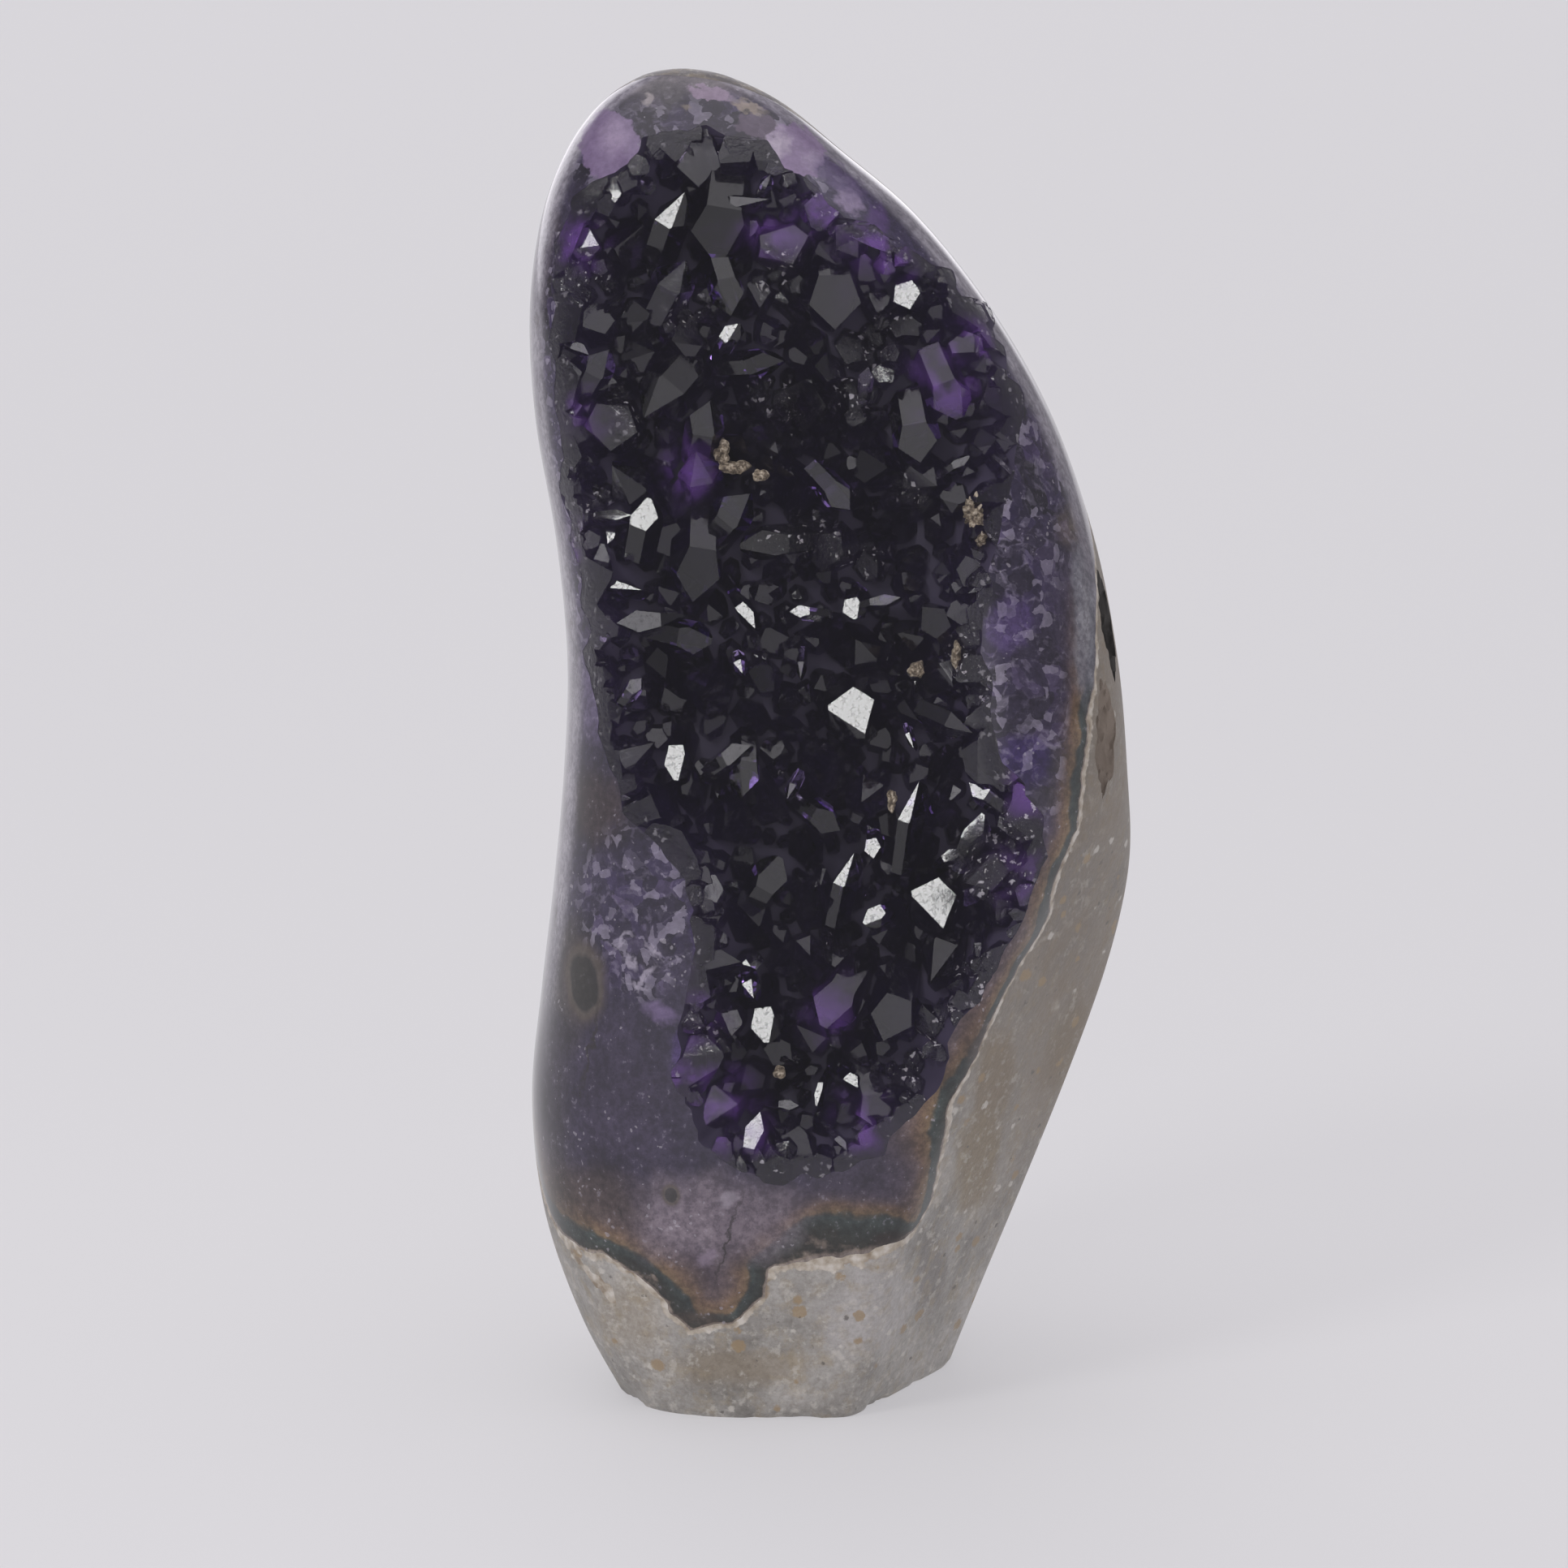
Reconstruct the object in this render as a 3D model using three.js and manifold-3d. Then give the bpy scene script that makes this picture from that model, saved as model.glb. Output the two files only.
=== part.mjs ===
// A cut base amethyst cluster: a piece of geode wall, ground to a smooth kidney-shaped form and
// sawn flat below so that it stands. From the back to the front it is basalt, a rind of banded agate
// with massive amethyst, and a bed of dark amethyst crystals in a shallow hollow.
// Millimetres, +Z up. The origin is the middle of the sawn base, and the crystals face -Y.
import * as THREE from "three";
import { mergeVertices } from "three/addons/utils/BufferGeometryUtils.js";
import Module from "manifold-3d";

// The ground outside, from the base to the crown: the height of each level, how far it reaches
// left and right of the origin, and how far it reaches to the front and to the back.
const LEVELS = [
  { z: 0, left: -25, right: 26.5, front: 26.3, back: 28 },
  { z: 12, left: -31.2, right: 31.5, front: 30, back: 32 },
  { z: 28, left: -36.5, right: 38.5, front: 34.5, back: 36 },
  { z: 45, left: -38.3, right: 45.5, front: 36.5, back: 38.5 },
  { z: 62, left: -36.7, right: 51, front: 37, back: 40 },
  { z: 78, left: -34.8, right: 53.2, front: 36.5, back: 40.5 },
  { z: 95, left: -33.2, right: 51.9, front: 35.5, back: 40 },
  { z: 112, left: -32.6, right: 50.2, front: 34, back: 38.5 },
  { z: 130, left: -34.2, right: 46.6, front: 32, back: 36 },
  { z: 148, left: -37.2, right: 40.3, front: 29, back: 32 },
  { z: 164, left: -38, right: 31.2, front: 25.5, back: 27.5 },
  { z: 178, left: -36.2, right: 20, front: 20.5, back: 21.5 },
  { z: 188, left: -32.4, right: 8.4, front: 15, back: 15.5 },
  { z: 195, left: -27.2, right: -0.4, front: 9.5, back: 9.5 },
  { z: 198.9, left: -21.3, right: -8.5, front: 4.8, back: 4.5 },
  { z: 200, left: -16.4, right: -14.2, front: 1.2, back: 1.2 },
];
const FRONT_SQUARENESS = 3; // the front is flatter than the domed back
const BACK_SQUARENESS = 2.3;
const RINGS = 25;
const AROUND = 32;

// The flat that was ground on the right flank, from the base up to its corner.
const FLANK_FOOT = new THREE.Vector3(25.4, 6, 0);
const FLANK_PLAN_ANGLE = -25.5; // degrees from +X towards the front
const FLANK_LEAN = 19; // degrees that it overhangs
const FLANK_SHARPNESS = 26;

// Natural lumps on the back, which was never ground.
const LUMP_HEIGHT = 1.3;
const LUMPS_RISE = [4, 30]; // the heights between which they rise from the smooth foot
const LUMPS_FADE = [170, 192]; // and between which they fade out at the crown

// Where the rock's contact with the agate shows on the ground surface, seen from the front.
const CONTACT_LINE = [
  [-70, 30], [-38, 29.5], [-31.4, 26.3], [-26, 25.4], [-21.1, 22.5], [-17.6, 19.5], [-17, 17],
  [-13.7, 14.5], [-7.6, 16.1], [-3, 19.8], [-2.4, 24.4], [1, 25.7], [9, 26.7], [16.5, 28.4],
  [20.7, 27.7], [24.3, 31], [24.3, 37.9], [25.2, 43.4], [24.6, 48.4], [28.5, 53.3], [32.9, 62],
  [37, 67.8], [41.5, 72.5], [41, 80], [44, 88], [44.3, 99], [46, 114.5], [47, 124], [50, 136],
  [70, 150],
];
const CONTACT_SHEAR = { x: -0.5, z: 0.75 }; // how the contact climbs inwards for each mm of depth
const RIND_BACK = 6; // the depth behind the origin where the rind's back lies
const RIND_BACK_AT_CROWN = -3;
const CONTACT_GAP = 0.35;

// Pits that open at the contact on the right: their middles and their half sizes.
const PITS = [
  { middle: [48.6, -11.5, 118.5], half: [2.8, 3.6, 7.5] },
  { middle: [47.9, -20.5, 102], half: [3.2, 3.2, 8.4] },
];

// The edge of the crystal bed on the ground surface, seen from the front.
const BED_EDGE = [
  [-21.5, 191], [-23, 187], [-27, 185.4], [-31, 182], [-33.2, 176], [-34.2, 170], [-34.8, 163.7],
  [-34.5, 152.3], [-33.4, 145], [-32, 136], [-30.8, 126.5], [-29.6, 117], [-28.4, 107.6],
  [-26.8, 99.3], [-23.3, 92.4], [-19.2, 87.7], [-14.6, 84], [-13.4, 75.7], [-15.2, 66],
  [-16.2, 59], [-16, 53], [-14.4, 47], [-9.6, 41], [-1.9, 38.2], [6.4, 39], [14.7, 43],
  [21.9, 50.8], [25.6, 59], [30.4, 68], [35.4, 75.6], [38.4, 82], [39, 88], [37.2, 94.4],
  [32.4, 100.5], [30.6, 110.4], [29.6, 121], [31, 130], [33, 139], [34.6, 146], [35.6, 152.6],
  [33, 159.3], [29.8, 164], [24.8, 170.9], [19.6, 174.6], [14.1, 177], [9, 180.4], [4, 184.8],
  [-3.1, 189.6], [-11.4, 192.4], [-17, 191.8],
];
const BED_DEPTH = 12; // how far the bed lies below the ground surface in its middle
const BED_WALL = 7; // how far in from its edge the bed has most of that depth
const BED_WAVE = 0.8;
const BED_LIP = 0.6; // keeps the bed's own edge just outside the ground surface
const BED_MARGIN = { x: 9, z: 6 }; // how far its outermost column and row lie outside the edge
const BED_ROWS = 22;
const BED_COLUMNS = 9;
const BED_GAP = 0.35; // between the crust's underside and the rock that it grew on
const CRUST_THICKNESS = 1.6;

// Quartz terminates in three large faces and three small ones, whose normals stand this far from
// the crystal's axis.
const FACE_ANGLE = THREE.MathUtils.degToRad(51.8);
const SMALL_FACE_SETBACKS = [0.06, 0.12, 0.2]; // of a crystal's width, one for each habit
const ROOT_LENGTH = 1.5; // of a crystal's width, below its tip
const CRYSTAL_SPACING = 11.4;
const ROW_SHARE = 0.87; // the rows of crystals are this much closer than the crystals in a row
const CRYSTAL_SHIFT = 0.6; // of the spacing, at most, that a crystal is thrown aside
const CRYSTAL_TILT = 1.3; // how far its axis is thrown off the bed's own direction, as a slope
const CRYSTAL_WIDTH = { least: 10, most: 14 };

// Crystals with a face that catches the light from above and from the left: [x, z, width, lean],
// in mm on the front and in degrees. A lean of 0 has the tip above that face, 90 has it right.
const LIT_FACES = [
  [-16.5, 180, 7, 120], [-25, 184, 7, 170], [4.5, 184, 7, 150], [18, 168, 6, 160],
  [-20.5, 136.5, 6, 165], [-25, 136, 7, 150], [-23.5, 125.5, 7, 175], [-21, 120, 9, 170],
  [10, 107.5, 10, 140], [-16, 100, 7, 160], [18.5, 94, 7, 115], [28, 91, 6, 150],
  [9, 84, 6, 170], [22, 79.5, 10.5, 150], [-10.5, 82, 6, 160], [-14, 62.5, 6, 110],
  [-3, 61.5, 7, 150], [-4.5, 45.5, 7, 135],
];
// Crystals with a large face turned to the viewer, written in the same way.
const SHADED_FACES = [
  [7.5, 167.5, 11, 200], [-16, 170.5, 8, 30], [-8, 168, 8, 170], [-9.5, 176.5, 12, 190],
  [-12.5, 188.5, 10, 200], [-5, 182.5, 8, 20], [-18, 153, 10, 220], [-11.5, 150, 8, 10],
  [24.5, 152.5, 9, 60], [19.5, 147, 9, 170], [-12.5, 142.5, 9, 350], [-7, 137, 9, 40],
  [-3, 132, 12, 190], [-12.5, 128, 12, 120], [-23, 140.5, 11, 320], [-3, 158, 9, 280],
  [-13, 118, 8, 100], [22, 121, 8, 320], [-22, 101, 10, 60], [-5.5, 98, 8, 190], [-1.5, 84, 8, 30],
  [6, 91.5, 7, 120], [23, 71.5, 11, 200], [-11.5, 71, 9, 90], [7, 64, 11, 210], [16, 63, 10, 200],
  [-10.5, 48.5, 13, 220], [29.5, 84, 9, 240], [2.5, 43, 9, 150], [13.5, 49, 8, 170],
];
// Where those two sets of faces point, in degrees to the right of the viewer's line and upwards.
const LIT = faceNormal(-16, 24);
const SHADED = faceNormal(4, 6);
const SHOWN_HEIGHT = 6.5; // how far such a face stands above the bed

function faceNormal(aside, up) {
  const a = THREE.MathUtils.degToRad(aside);
  const b = THREE.MathUtils.degToRad(up);
  return new THREE.Vector3(Math.sin(a) * Math.cos(b), -Math.cos(a) * Math.cos(b), Math.sin(b));
}

// A value of the levels at a fractional level, smoothly through all of them.
function levelValue(key, at) {
  const last = LEVELS.length - 1;
  const i = Math.min(Math.floor(at), last - 1);
  const t = at - i;
  const [p, q, r, s] = [i - 1, i, i + 1, i + 2].map(
    (k) => LEVELS[THREE.MathUtils.clamp(k, 0, last)][key],
  );
  const cubic = 3 * q - p - 3 * r + s;
  return q + 0.5 * t * (r - p + t * (2 * p - 5 * q + 4 * r - s + t * cubic));
}

// The fractional level that lies at a height.
function levelAt(z) {
  let low = 0;
  let high = LEVELS.length - 1;
  for (let i = 0; i < 24; i++) {
    const middle = (low + high) / 2;
    if (levelValue("z", middle) < z) low = middle;
    else high = middle;
  }
  return low;
}

// How deep the ground front lies at a place seen from the front, as a y.
function frontAt(x, z) {
  const at = levelAt(z);
  const left = levelValue("left", at);
  const right = levelValue("right", at);
  const aside = Math.abs(x - (left + right) / 2) / ((right - left) / 2);
  const flatness = Math.max(0, 1 - aside ** FRONT_SQUARENESS) ** (1 / FRONT_SQUARENESS);
  return -levelValue("front", at) * flatness;
}

function lumps(x, y, z) {
  return (
    Math.sin(0.19 * x + 0.13 * z + 0.7) * Math.cos(0.11 * z - 0.16 * y) +
    0.6 * Math.sin(0.31 * z + 0.27 * x - 1.9) * Math.sin(0.29 * y + 0.22 * x) +
    0.35 * Math.sin(0.47 * x + 0.18 * z + 0.4) * Math.cos(0.41 * z - 0.23 * x)
  );
}

// How far the outside reaches from a level's middle in a direction seen from above.
function reach(at, angle) {
  const left = levelValue("left", at);
  const right = levelValue("right", at);
  const sine = Math.sin(angle);
  const depth = levelValue(sine < 0 ? "front" : "back", at);
  const power = sine < 0 ? FRONT_SQUARENESS : BACK_SQUARENESS;
  const across = Math.abs(Math.cos(angle) / ((right - left) / 2)) ** power;
  const round = (across + Math.abs(sine / depth) ** power) ** (-1 / power);
  const middle = new THREE.Vector3((left + right) / 2, 0, levelValue("z", at));
  const direction = new THREE.Vector3(Math.cos(angle), sine, 0);
  const lean = THREE.MathUtils.degToRad(FLANK_LEAN);
  const plan = THREE.MathUtils.degToRad(FLANK_PLAN_ANGLE);
  const flank = new THREE.Vector3(
    Math.cos(plan) * Math.cos(lean),
    Math.sin(plan) * Math.cos(lean),
    -Math.sin(lean),
  );
  const towards = flank.dot(direction);
  if (towards < 0.05) return round;
  const flat = flank.dot(FLANK_FOOT.clone().sub(middle)) / towards;
  return (round ** -FLANK_SHARPNESS + flat ** -FLANK_SHARPNESS) ** (-1 / FLANK_SHARPNESS);
}

// The whole outside as one closed form: a cylinder whose rings are drawn out to the levels.
function groundForm() {
  const form = new THREE.CylinderGeometry(1, 1, 1, AROUND, RINGS, false).rotateX(Math.PI / 2);
  const points = form.attributes.position;
  for (let i = 0; i < points.count; i++) {
    const at = (points.getZ(i) + 0.5) * (LEVELS.length - 1);
    const angle = Math.atan2(points.getY(i), points.getX(i));
    const share = Math.hypot(points.getX(i), points.getY(i));
    const middle = (levelValue("left", at) + levelValue("right", at)) / 2;
    const far = reach(at, angle);
    const z = levelValue("z", at);
    const natural = THREE.MathUtils.smoothstep(Math.sin(angle), 0.25, 0.7);
    const above = THREE.MathUtils.smoothstep(z, ...LUMPS_RISE);
    const below = 1 - THREE.MathUtils.smoothstep(z, ...LUMPS_FADE);
    const lump = lumps(middle + far * Math.cos(angle), far * Math.sin(angle), z);
    const out = share * (far + LUMP_HEIGHT * natural * above * below * lump);
    points.setXYZ(i, middle + out * Math.cos(angle), out * Math.sin(angle), z);
  }
  return form;
}

// The signed distance of a place from a line of points: positive on the line's left.
function besideLine(line, closed, x, z) {
  let best = Infinity;
  let side = 1;
  for (let i = 0; i < line.length - (closed ? 0 : 1); i++) {
    const [ax, az] = line[i];
    const [bx, bz] = line[(i + 1) % line.length];
    const [dx, dz] = [bx - ax, bz - az];
    const t = ((x - ax) * dx + (z - az) * dz) / (dx * dx + dz * dz);
    const near = THREE.MathUtils.clamp(t, 0, 1);
    const distance = Math.hypot(x - ax - near * dx, z - az - near * dz);
    if (distance < best - 1e-9) {
      best = distance;
      side = Math.sign(dx * (z - az) - dz * (x - ax)) || 1;
    }
  }
  return side * best;
}

// The bed that the crystals grew on, as a y: it drops below the ground surface inside its edge.
function bedAt(x, z) {
  const inside = besideLine(BED_EDGE, true, x, z);
  const edge = frontAt(x, z) - BED_LIP;
  if (inside <= 0) return edge + 6 * inside;
  const wave = BED_WAVE * Math.sin(0.33 * x + 0.21 * z) * Math.sin(0.17 * z - 0.24 * x + 1.1);
  return edge + (BED_DEPTH + wave) * (1 - Math.exp(-inside / BED_WALL));
}

const wasm = await Module();
wasm.setup();

function solidFrom(geometry) {
  const bare = new THREE.BufferGeometry().setAttribute("position", geometry.attributes.position);
  if (geometry.index) bare.setIndex(geometry.index);
  const merged = mergeVertices(bare, 1e-4);
  return new wasm.Manifold(
    new wasm.Mesh({
      numProp: 3,
      vertProperties: merged.attributes.position.array,
      triVerts: new Uint32Array(merged.index.array),
    }),
  );
}

function meshFrom(solid, name, material) {
  const largest = solid.decompose().reduce((a, b) => (b.volume() > a.volume() ? b : a));
  const { numProp, vertProperties, triVerts } = largest.getMesh();
  const places = new Float32Array((vertProperties.length / numProp) * 3);
  for (let i = 0; i < places.length / 3; i++) {
    places.set(vertProperties.subarray(i * numProp, i * numProp + 3), i * 3);
  }
  const geometry = new THREE.BufferGeometry()
    .setAttribute("position", new THREE.BufferAttribute(places, 3))
    .setIndex(new THREE.BufferAttribute(triVerts, 1));
  geometry.computeVertexNormals();
  const mesh = new THREE.Mesh(geometry, material);
  mesh.name = name;
  return mesh;
}

// A block whose face follows a relief y(x, z), and which reaches from it to a far side.
function reliefBlock(relief, far, columns, rows, place) {
  const block = new THREE.BoxGeometry(1, 1, 1, columns, 1, rows);
  const points = block.attributes.position;
  for (let i = 0; i < points.count; i++) {
    const [x, z] = place(points.getX(i) + 0.5, points.getZ(i) + 0.5);
    const onFarSide = points.getY(i) > 0 === far > 0;
    points.setXYZ(i, x, onFarSide ? far : relief(x, z), z);
  }
  return solidFrom(block);
}

// Where the bed's edge lies left and right at a height.
function bedSpan(z) {
  const crossings = BED_EDGE.map(([ax, az], i) => {
    const [bx, bz] = BED_EDGE[(i + 1) % BED_EDGE.length];
    return (az - z) * (bz - z) <= 0 && az !== bz ? ax + ((bx - ax) * (z - az)) / (bz - az) : NaN;
  }).filter((x) => !Number.isNaN(x));
  return [Math.min(...crossings), Math.max(...crossings)];
}

// The bed's surface, or one that is parallel to it, as a block reaching from it to a far side.
// Its columns follow the bed's edge, with one column and one row outside it.
function bedBlock(outwards, far) {
  const heights = BED_EDGE.map(([, z]) => z);
  const [bottom, top] = [Math.min(...heights) + 0.3, Math.max(...heights) - 0.3];
  const spread = (t, count) => {
    const inner = THREE.MathUtils.clamp((t * count - 1) / (count - 2), 0, 1);
    return [(1 - Math.cos(Math.PI * inner)) / 2, Math.sign(Math.round(t * count) - count / 2)];
  };
  const place = (u, v) => {
    const [across, side] = spread(u, BED_COLUMNS + 2);
    const [up, end] = spread(v, BED_ROWS + 2);
    const beyondX = u === 0 || u === 1 ? BED_MARGIN.x * side : 0;
    const beyondZ = v === 0 || v === 1 ? BED_MARGIN.z * end : 0;
    const z = bottom + (top - bottom) * up;
    const [left, right] = bedSpan(z);
    return [left + (right - left) * across + beyondX, z + beyondZ];
  };
  const relief = (x, z) => {
    const slopeX = bedAt(x + 0.5, z) - bedAt(x - 0.5, z);
    const slopeZ = bedAt(x, z + 0.5) - bedAt(x, z - 0.5);
    return bedAt(x, z) - outwards * Math.min(Math.hypot(1, slopeX, slopeZ), 3);
  };
  return reliefBlock(relief, far, BED_COLUMNS + 2, BED_ROWS + 2, place);
}

// The contact line, moved by a distance towards the rock.
function contactMoved(distance) {
  return CONTACT_LINE.map(([x, z], i) => {
    const before = CONTACT_LINE[Math.max(i - 1, 0)];
    const after = CONTACT_LINE[Math.min(i + 1, CONTACT_LINE.length - 1)];
    const along = new THREE.Vector2(after[0] - before[0], after[1] - before[1]).normalize();
    return [x + along.y * distance, z - along.x * distance];
  });
}

// All that lies on the crystals' side of the contact. It climbs inwards with depth.
function rindBlock(outwards) {
  const line = contactMoved(outwards).map(([x, z]) => {
    const depth = frontAt(THREE.MathUtils.clamp(x, -34, 46), THREE.MathUtils.clamp(z, 8, 190));
    return new THREE.Vector2(x - CONTACT_SHEAR.x * depth, z - CONTACT_SHEAR.z * depth);
  });
  const above = [[150, 320], [-150, 320], [-150, 60]].map(([x, z]) => new THREE.Vector2(x, z));
  const [from, to] = [-60, 60];
  const block = new THREE.ExtrudeGeometry(new THREE.Shape([...line, ...above]), {
    depth: to - from,
    bevelEnabled: false,
  }).rotateX(Math.PI / 2);
  const points = block.attributes.position;
  for (let i = 0; i < points.count; i++) {
    const y = points.getY(i) + to;
    points.setXYZ(
      i,
      points.getX(i) + CONTACT_SHEAR.x * y,
      y,
      points.getZ(i) + CONTACT_SHEAR.z * y,
    );
  }
  const back = (x, z) => {
    const crown = THREE.MathUtils.smoothstep(z, 150, 200);
    const depth = THREE.MathUtils.lerp(RIND_BACK, RIND_BACK_AT_CROWN, crown);
    return depth + outwards + 1.5 * Math.sin(0.12 * x + 0.09 * z) + Math.sin(0.21 * z);
  };
  const place = (u, v) => [-60 + 125 * u, -10 + 220 * v];
  return solidFrom(block).intersect(reliefBlock(back, -90, 12, 22, place));
}

// The terminated end of a crystal 1 wide, with its tip at the origin and its axis along Z.
function crystalEnd(setback) {
  const corner = new THREE.Quaternion().setFromUnitVectors(
    new THREE.Vector3(1, 1, 1).normalize(),
    new THREE.Vector3(0, 0, 1),
  );
  const firstFace = new THREE.Vector3(1, 0, 0).applyQuaternion(corner);
  const side = 1.15; // long enough for the faces to reach past the crystal's width
  const flatten = Math.tan(FACE_ANGLE) / Math.SQRT2;
  const faces = (turn, height) =>
    solidFrom(
      new THREE.BoxGeometry(side, side, side)
        .applyQuaternion(corner)
        .rotateZ(turn - Math.atan2(firstFace.y, firstFace.x))
        .scale(1, 1, flatten)
        .translate(0, 0, height - (side * Math.sqrt(3) * flatten) / 2),
    );
  return faces(0, 0).intersect(faces(Math.PI / 3, setback));
}

// The same with the six sides of its prism.
function crystalWithPrism(end) {
  const prism = new THREE.CylinderGeometry(0.5, 0.42, ROOT_LENGTH + 1, 6)
    .rotateX(Math.PI / 2)
    .translate(0, 0, (1 - ROOT_LENGTH) / 2);
  return end.intersect(solidFrom(prism));
}
const ends = SMALL_FACE_SETBACKS.map(crystalEnd);
const prisms = ends.map(crystalWithPrism);

function placed(habit, tip, across, axis, width) {
  const turn = new THREE.Matrix4().makeBasis(across, axis.clone().cross(across), axis);
  const place = turn.clone().scale(new THREE.Vector3(width, width, width)).setPosition(tip);
  return habit.transform(place.elements);
}

// A crystal whose first large face is centred at a place and has a given normal.
function shownCrystal([x, z, width, lean], normal, index) {
  const right = new THREE.Vector3(0, 0, 1).cross(normal).normalize();
  const up = normal.clone().cross(right);
  const turn = THREE.MathUtils.degToRad(lean);
  const aside = up.multiplyScalar(Math.cos(turn)).addScaledVector(right, Math.sin(turn));
  const axis = normal.clone().multiplyScalar(Math.cos(FACE_ANGLE));
  axis.addScaledVector(aside, Math.sin(FACE_ANGLE));
  const across = normal.clone().addScaledVector(axis, -Math.cos(FACE_ANGLE)).normalize();
  const centre = new THREE.Vector3(x, bedAt(x, z) - SHOWN_HEIGHT, z);
  const tip = centre.addScaledVector(across, -0.25 * width).addScaledVector(axis, 0.31 * width);
  return placed(prisms[1 + (index % 2)], tip, across, axis, width);
}

// A die that gives the same throws each time.
function die(seed) {
  let state = seed;
  return () => {
    state = (state * 1664525 + 1013904223) % 4294967296;
    return state / 4294967296;
  };
}

// The direction out of the bed at a place.
function bedNormal(x, z) {
  const slopeX = (bedAt(x + 1, z) - bedAt(x - 1, z)) / 2;
  const slopeZ = (bedAt(x, z + 1) - bedAt(x, z - 1)) / 2;
  return new THREE.Vector3(0.5 * slopeX, -1, 0.5 * slopeZ).normalize();
}

// The crystals between those that show plainly: rows across the bed, each thrown a little aside.
function scatteredCrystals() {
  const taken = [...LIT_FACES, ...SHADED_FACES];
  const roll = die(7);
  const made = [];
  for (let row = 0; row * CRYSTAL_SPACING * ROW_SHARE < 175; row++) {
    for (let column = 0; column < 12; column++) {
      const [jx, jz, size, tiltX, tiltZ, spin] = [roll(), roll(), roll(), roll(), roll(), roll()];
      const x = -42 + (column + (row % 2) / 2 + CRYSTAL_SHIFT * (jx - 0.5)) * CRYSTAL_SPACING;
      const z = 28 + (row * ROW_SHARE + CRYSTAL_SHIFT * (jz - 0.5)) * CRYSTAL_SPACING;
      if (besideLine(BED_EDGE, true, x, z) < -1) continue;
      if (taken.some(([tx, tz, width]) => Math.hypot(x - tx, z - tz) < 0.42 * width)) continue;
      const width = THREE.MathUtils.lerp(CRYSTAL_WIDTH.least, CRYSTAL_WIDTH.most, size ** 1.5);
      const tilt = new THREE.Vector3(tiltX - 0.5, 0, tiltZ - 0.5).multiplyScalar(CRYSTAL_TILT);
      const axis = bedNormal(x, z).add(tilt).normalize();
      const level = new THREE.Vector3(0, 0, 1).cross(axis).normalize();
      const across = level.applyAxisAngle(axis, 2 * Math.PI * spin);
      const foot = new THREE.Vector3(x, bedAt(x, z), z);
      const tip = foot.addScaledVector(axis, (0.42 + 0.2 * size) * width);
      made.push(placed(ends[Math.floor(3 * jx)], tip, across, axis, width));
    }
  }
  return made;
}

function pittedOutside() {
  const pits = PITS.map(({ middle, half }) =>
    solidFrom(new THREE.SphereGeometry(1, 9, 6).scale(...half).translate(...middle)),
  );
  return pits.reduce((stone, pit) => stone.subtract(pit), solidFrom(groundForm()));
}

const outside = pittedOutside();
const crystals = [
  ...LIT_FACES.map((row, i) => shownCrystal(row, LIT, i)),
  ...SHADED_FACES.map((row, i) => shownCrystal(row, SHADED, i)),
  ...scatteredCrystals(),
];
const behindCrust = bedBlock(BED_GAP + CRUST_THICKNESS, 30);
const crust = crystals.reduce((all, one) => all.add(one), behindCrust);

const part = new THREE.Group();
part.add(
  meshFrom(
    outside.subtract(rindBlock(CONTACT_GAP)),
    "basalt_matrix",
    new THREE.MeshStandardMaterial({ color: "#8f8a84", roughness: 0.55, metalness: 0 }),
  ),
  meshFrom(
    outside.intersect(rindBlock(0)).subtract(bedBlock(0, -90)),
    "agate_and_massive_amethyst",
    new THREE.MeshStandardMaterial({ color: "#5d5064", roughness: 0.18, metalness: 0 }),
  ),
  meshFrom(
    crust.intersect(outside).intersect(bedBlock(BED_GAP, -90)),
    "amethyst_crystals",
    new THREE.MeshStandardMaterial({ color: "#2c2140", roughness: 0.05, metalness: 0 }),
  ),
);

export default part;
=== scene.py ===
import math
import random

import bpy
import numpy as np
from mathutils import Matrix, Vector, noise


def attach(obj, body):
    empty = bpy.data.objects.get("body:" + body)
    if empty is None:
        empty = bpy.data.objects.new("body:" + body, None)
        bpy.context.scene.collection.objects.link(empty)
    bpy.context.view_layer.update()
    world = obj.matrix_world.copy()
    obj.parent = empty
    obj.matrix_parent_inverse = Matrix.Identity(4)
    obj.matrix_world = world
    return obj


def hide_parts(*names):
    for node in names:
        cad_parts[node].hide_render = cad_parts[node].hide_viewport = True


# A cut base amethyst cluster, standing on its sawn base with the crystals towards -Y.
# Sizes are millimetres unless a name says otherwise, and the meshes are metres.
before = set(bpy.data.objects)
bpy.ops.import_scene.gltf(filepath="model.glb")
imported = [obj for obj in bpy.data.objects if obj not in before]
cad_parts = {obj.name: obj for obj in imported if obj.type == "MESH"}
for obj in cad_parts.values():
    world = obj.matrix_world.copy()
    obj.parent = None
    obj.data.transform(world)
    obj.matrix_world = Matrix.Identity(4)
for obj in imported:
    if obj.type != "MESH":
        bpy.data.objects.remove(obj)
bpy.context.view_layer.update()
mm = 0.001


def linear(hexColour):
    parts = [int(hexColour[i : i + 2], 16) / 255 for i in (1, 3, 5)]
    return [p / 12.92 if p <= 0.04045 else ((p + 0.055) / 1.055) ** 2.4 for p in parts] + [1]


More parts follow.
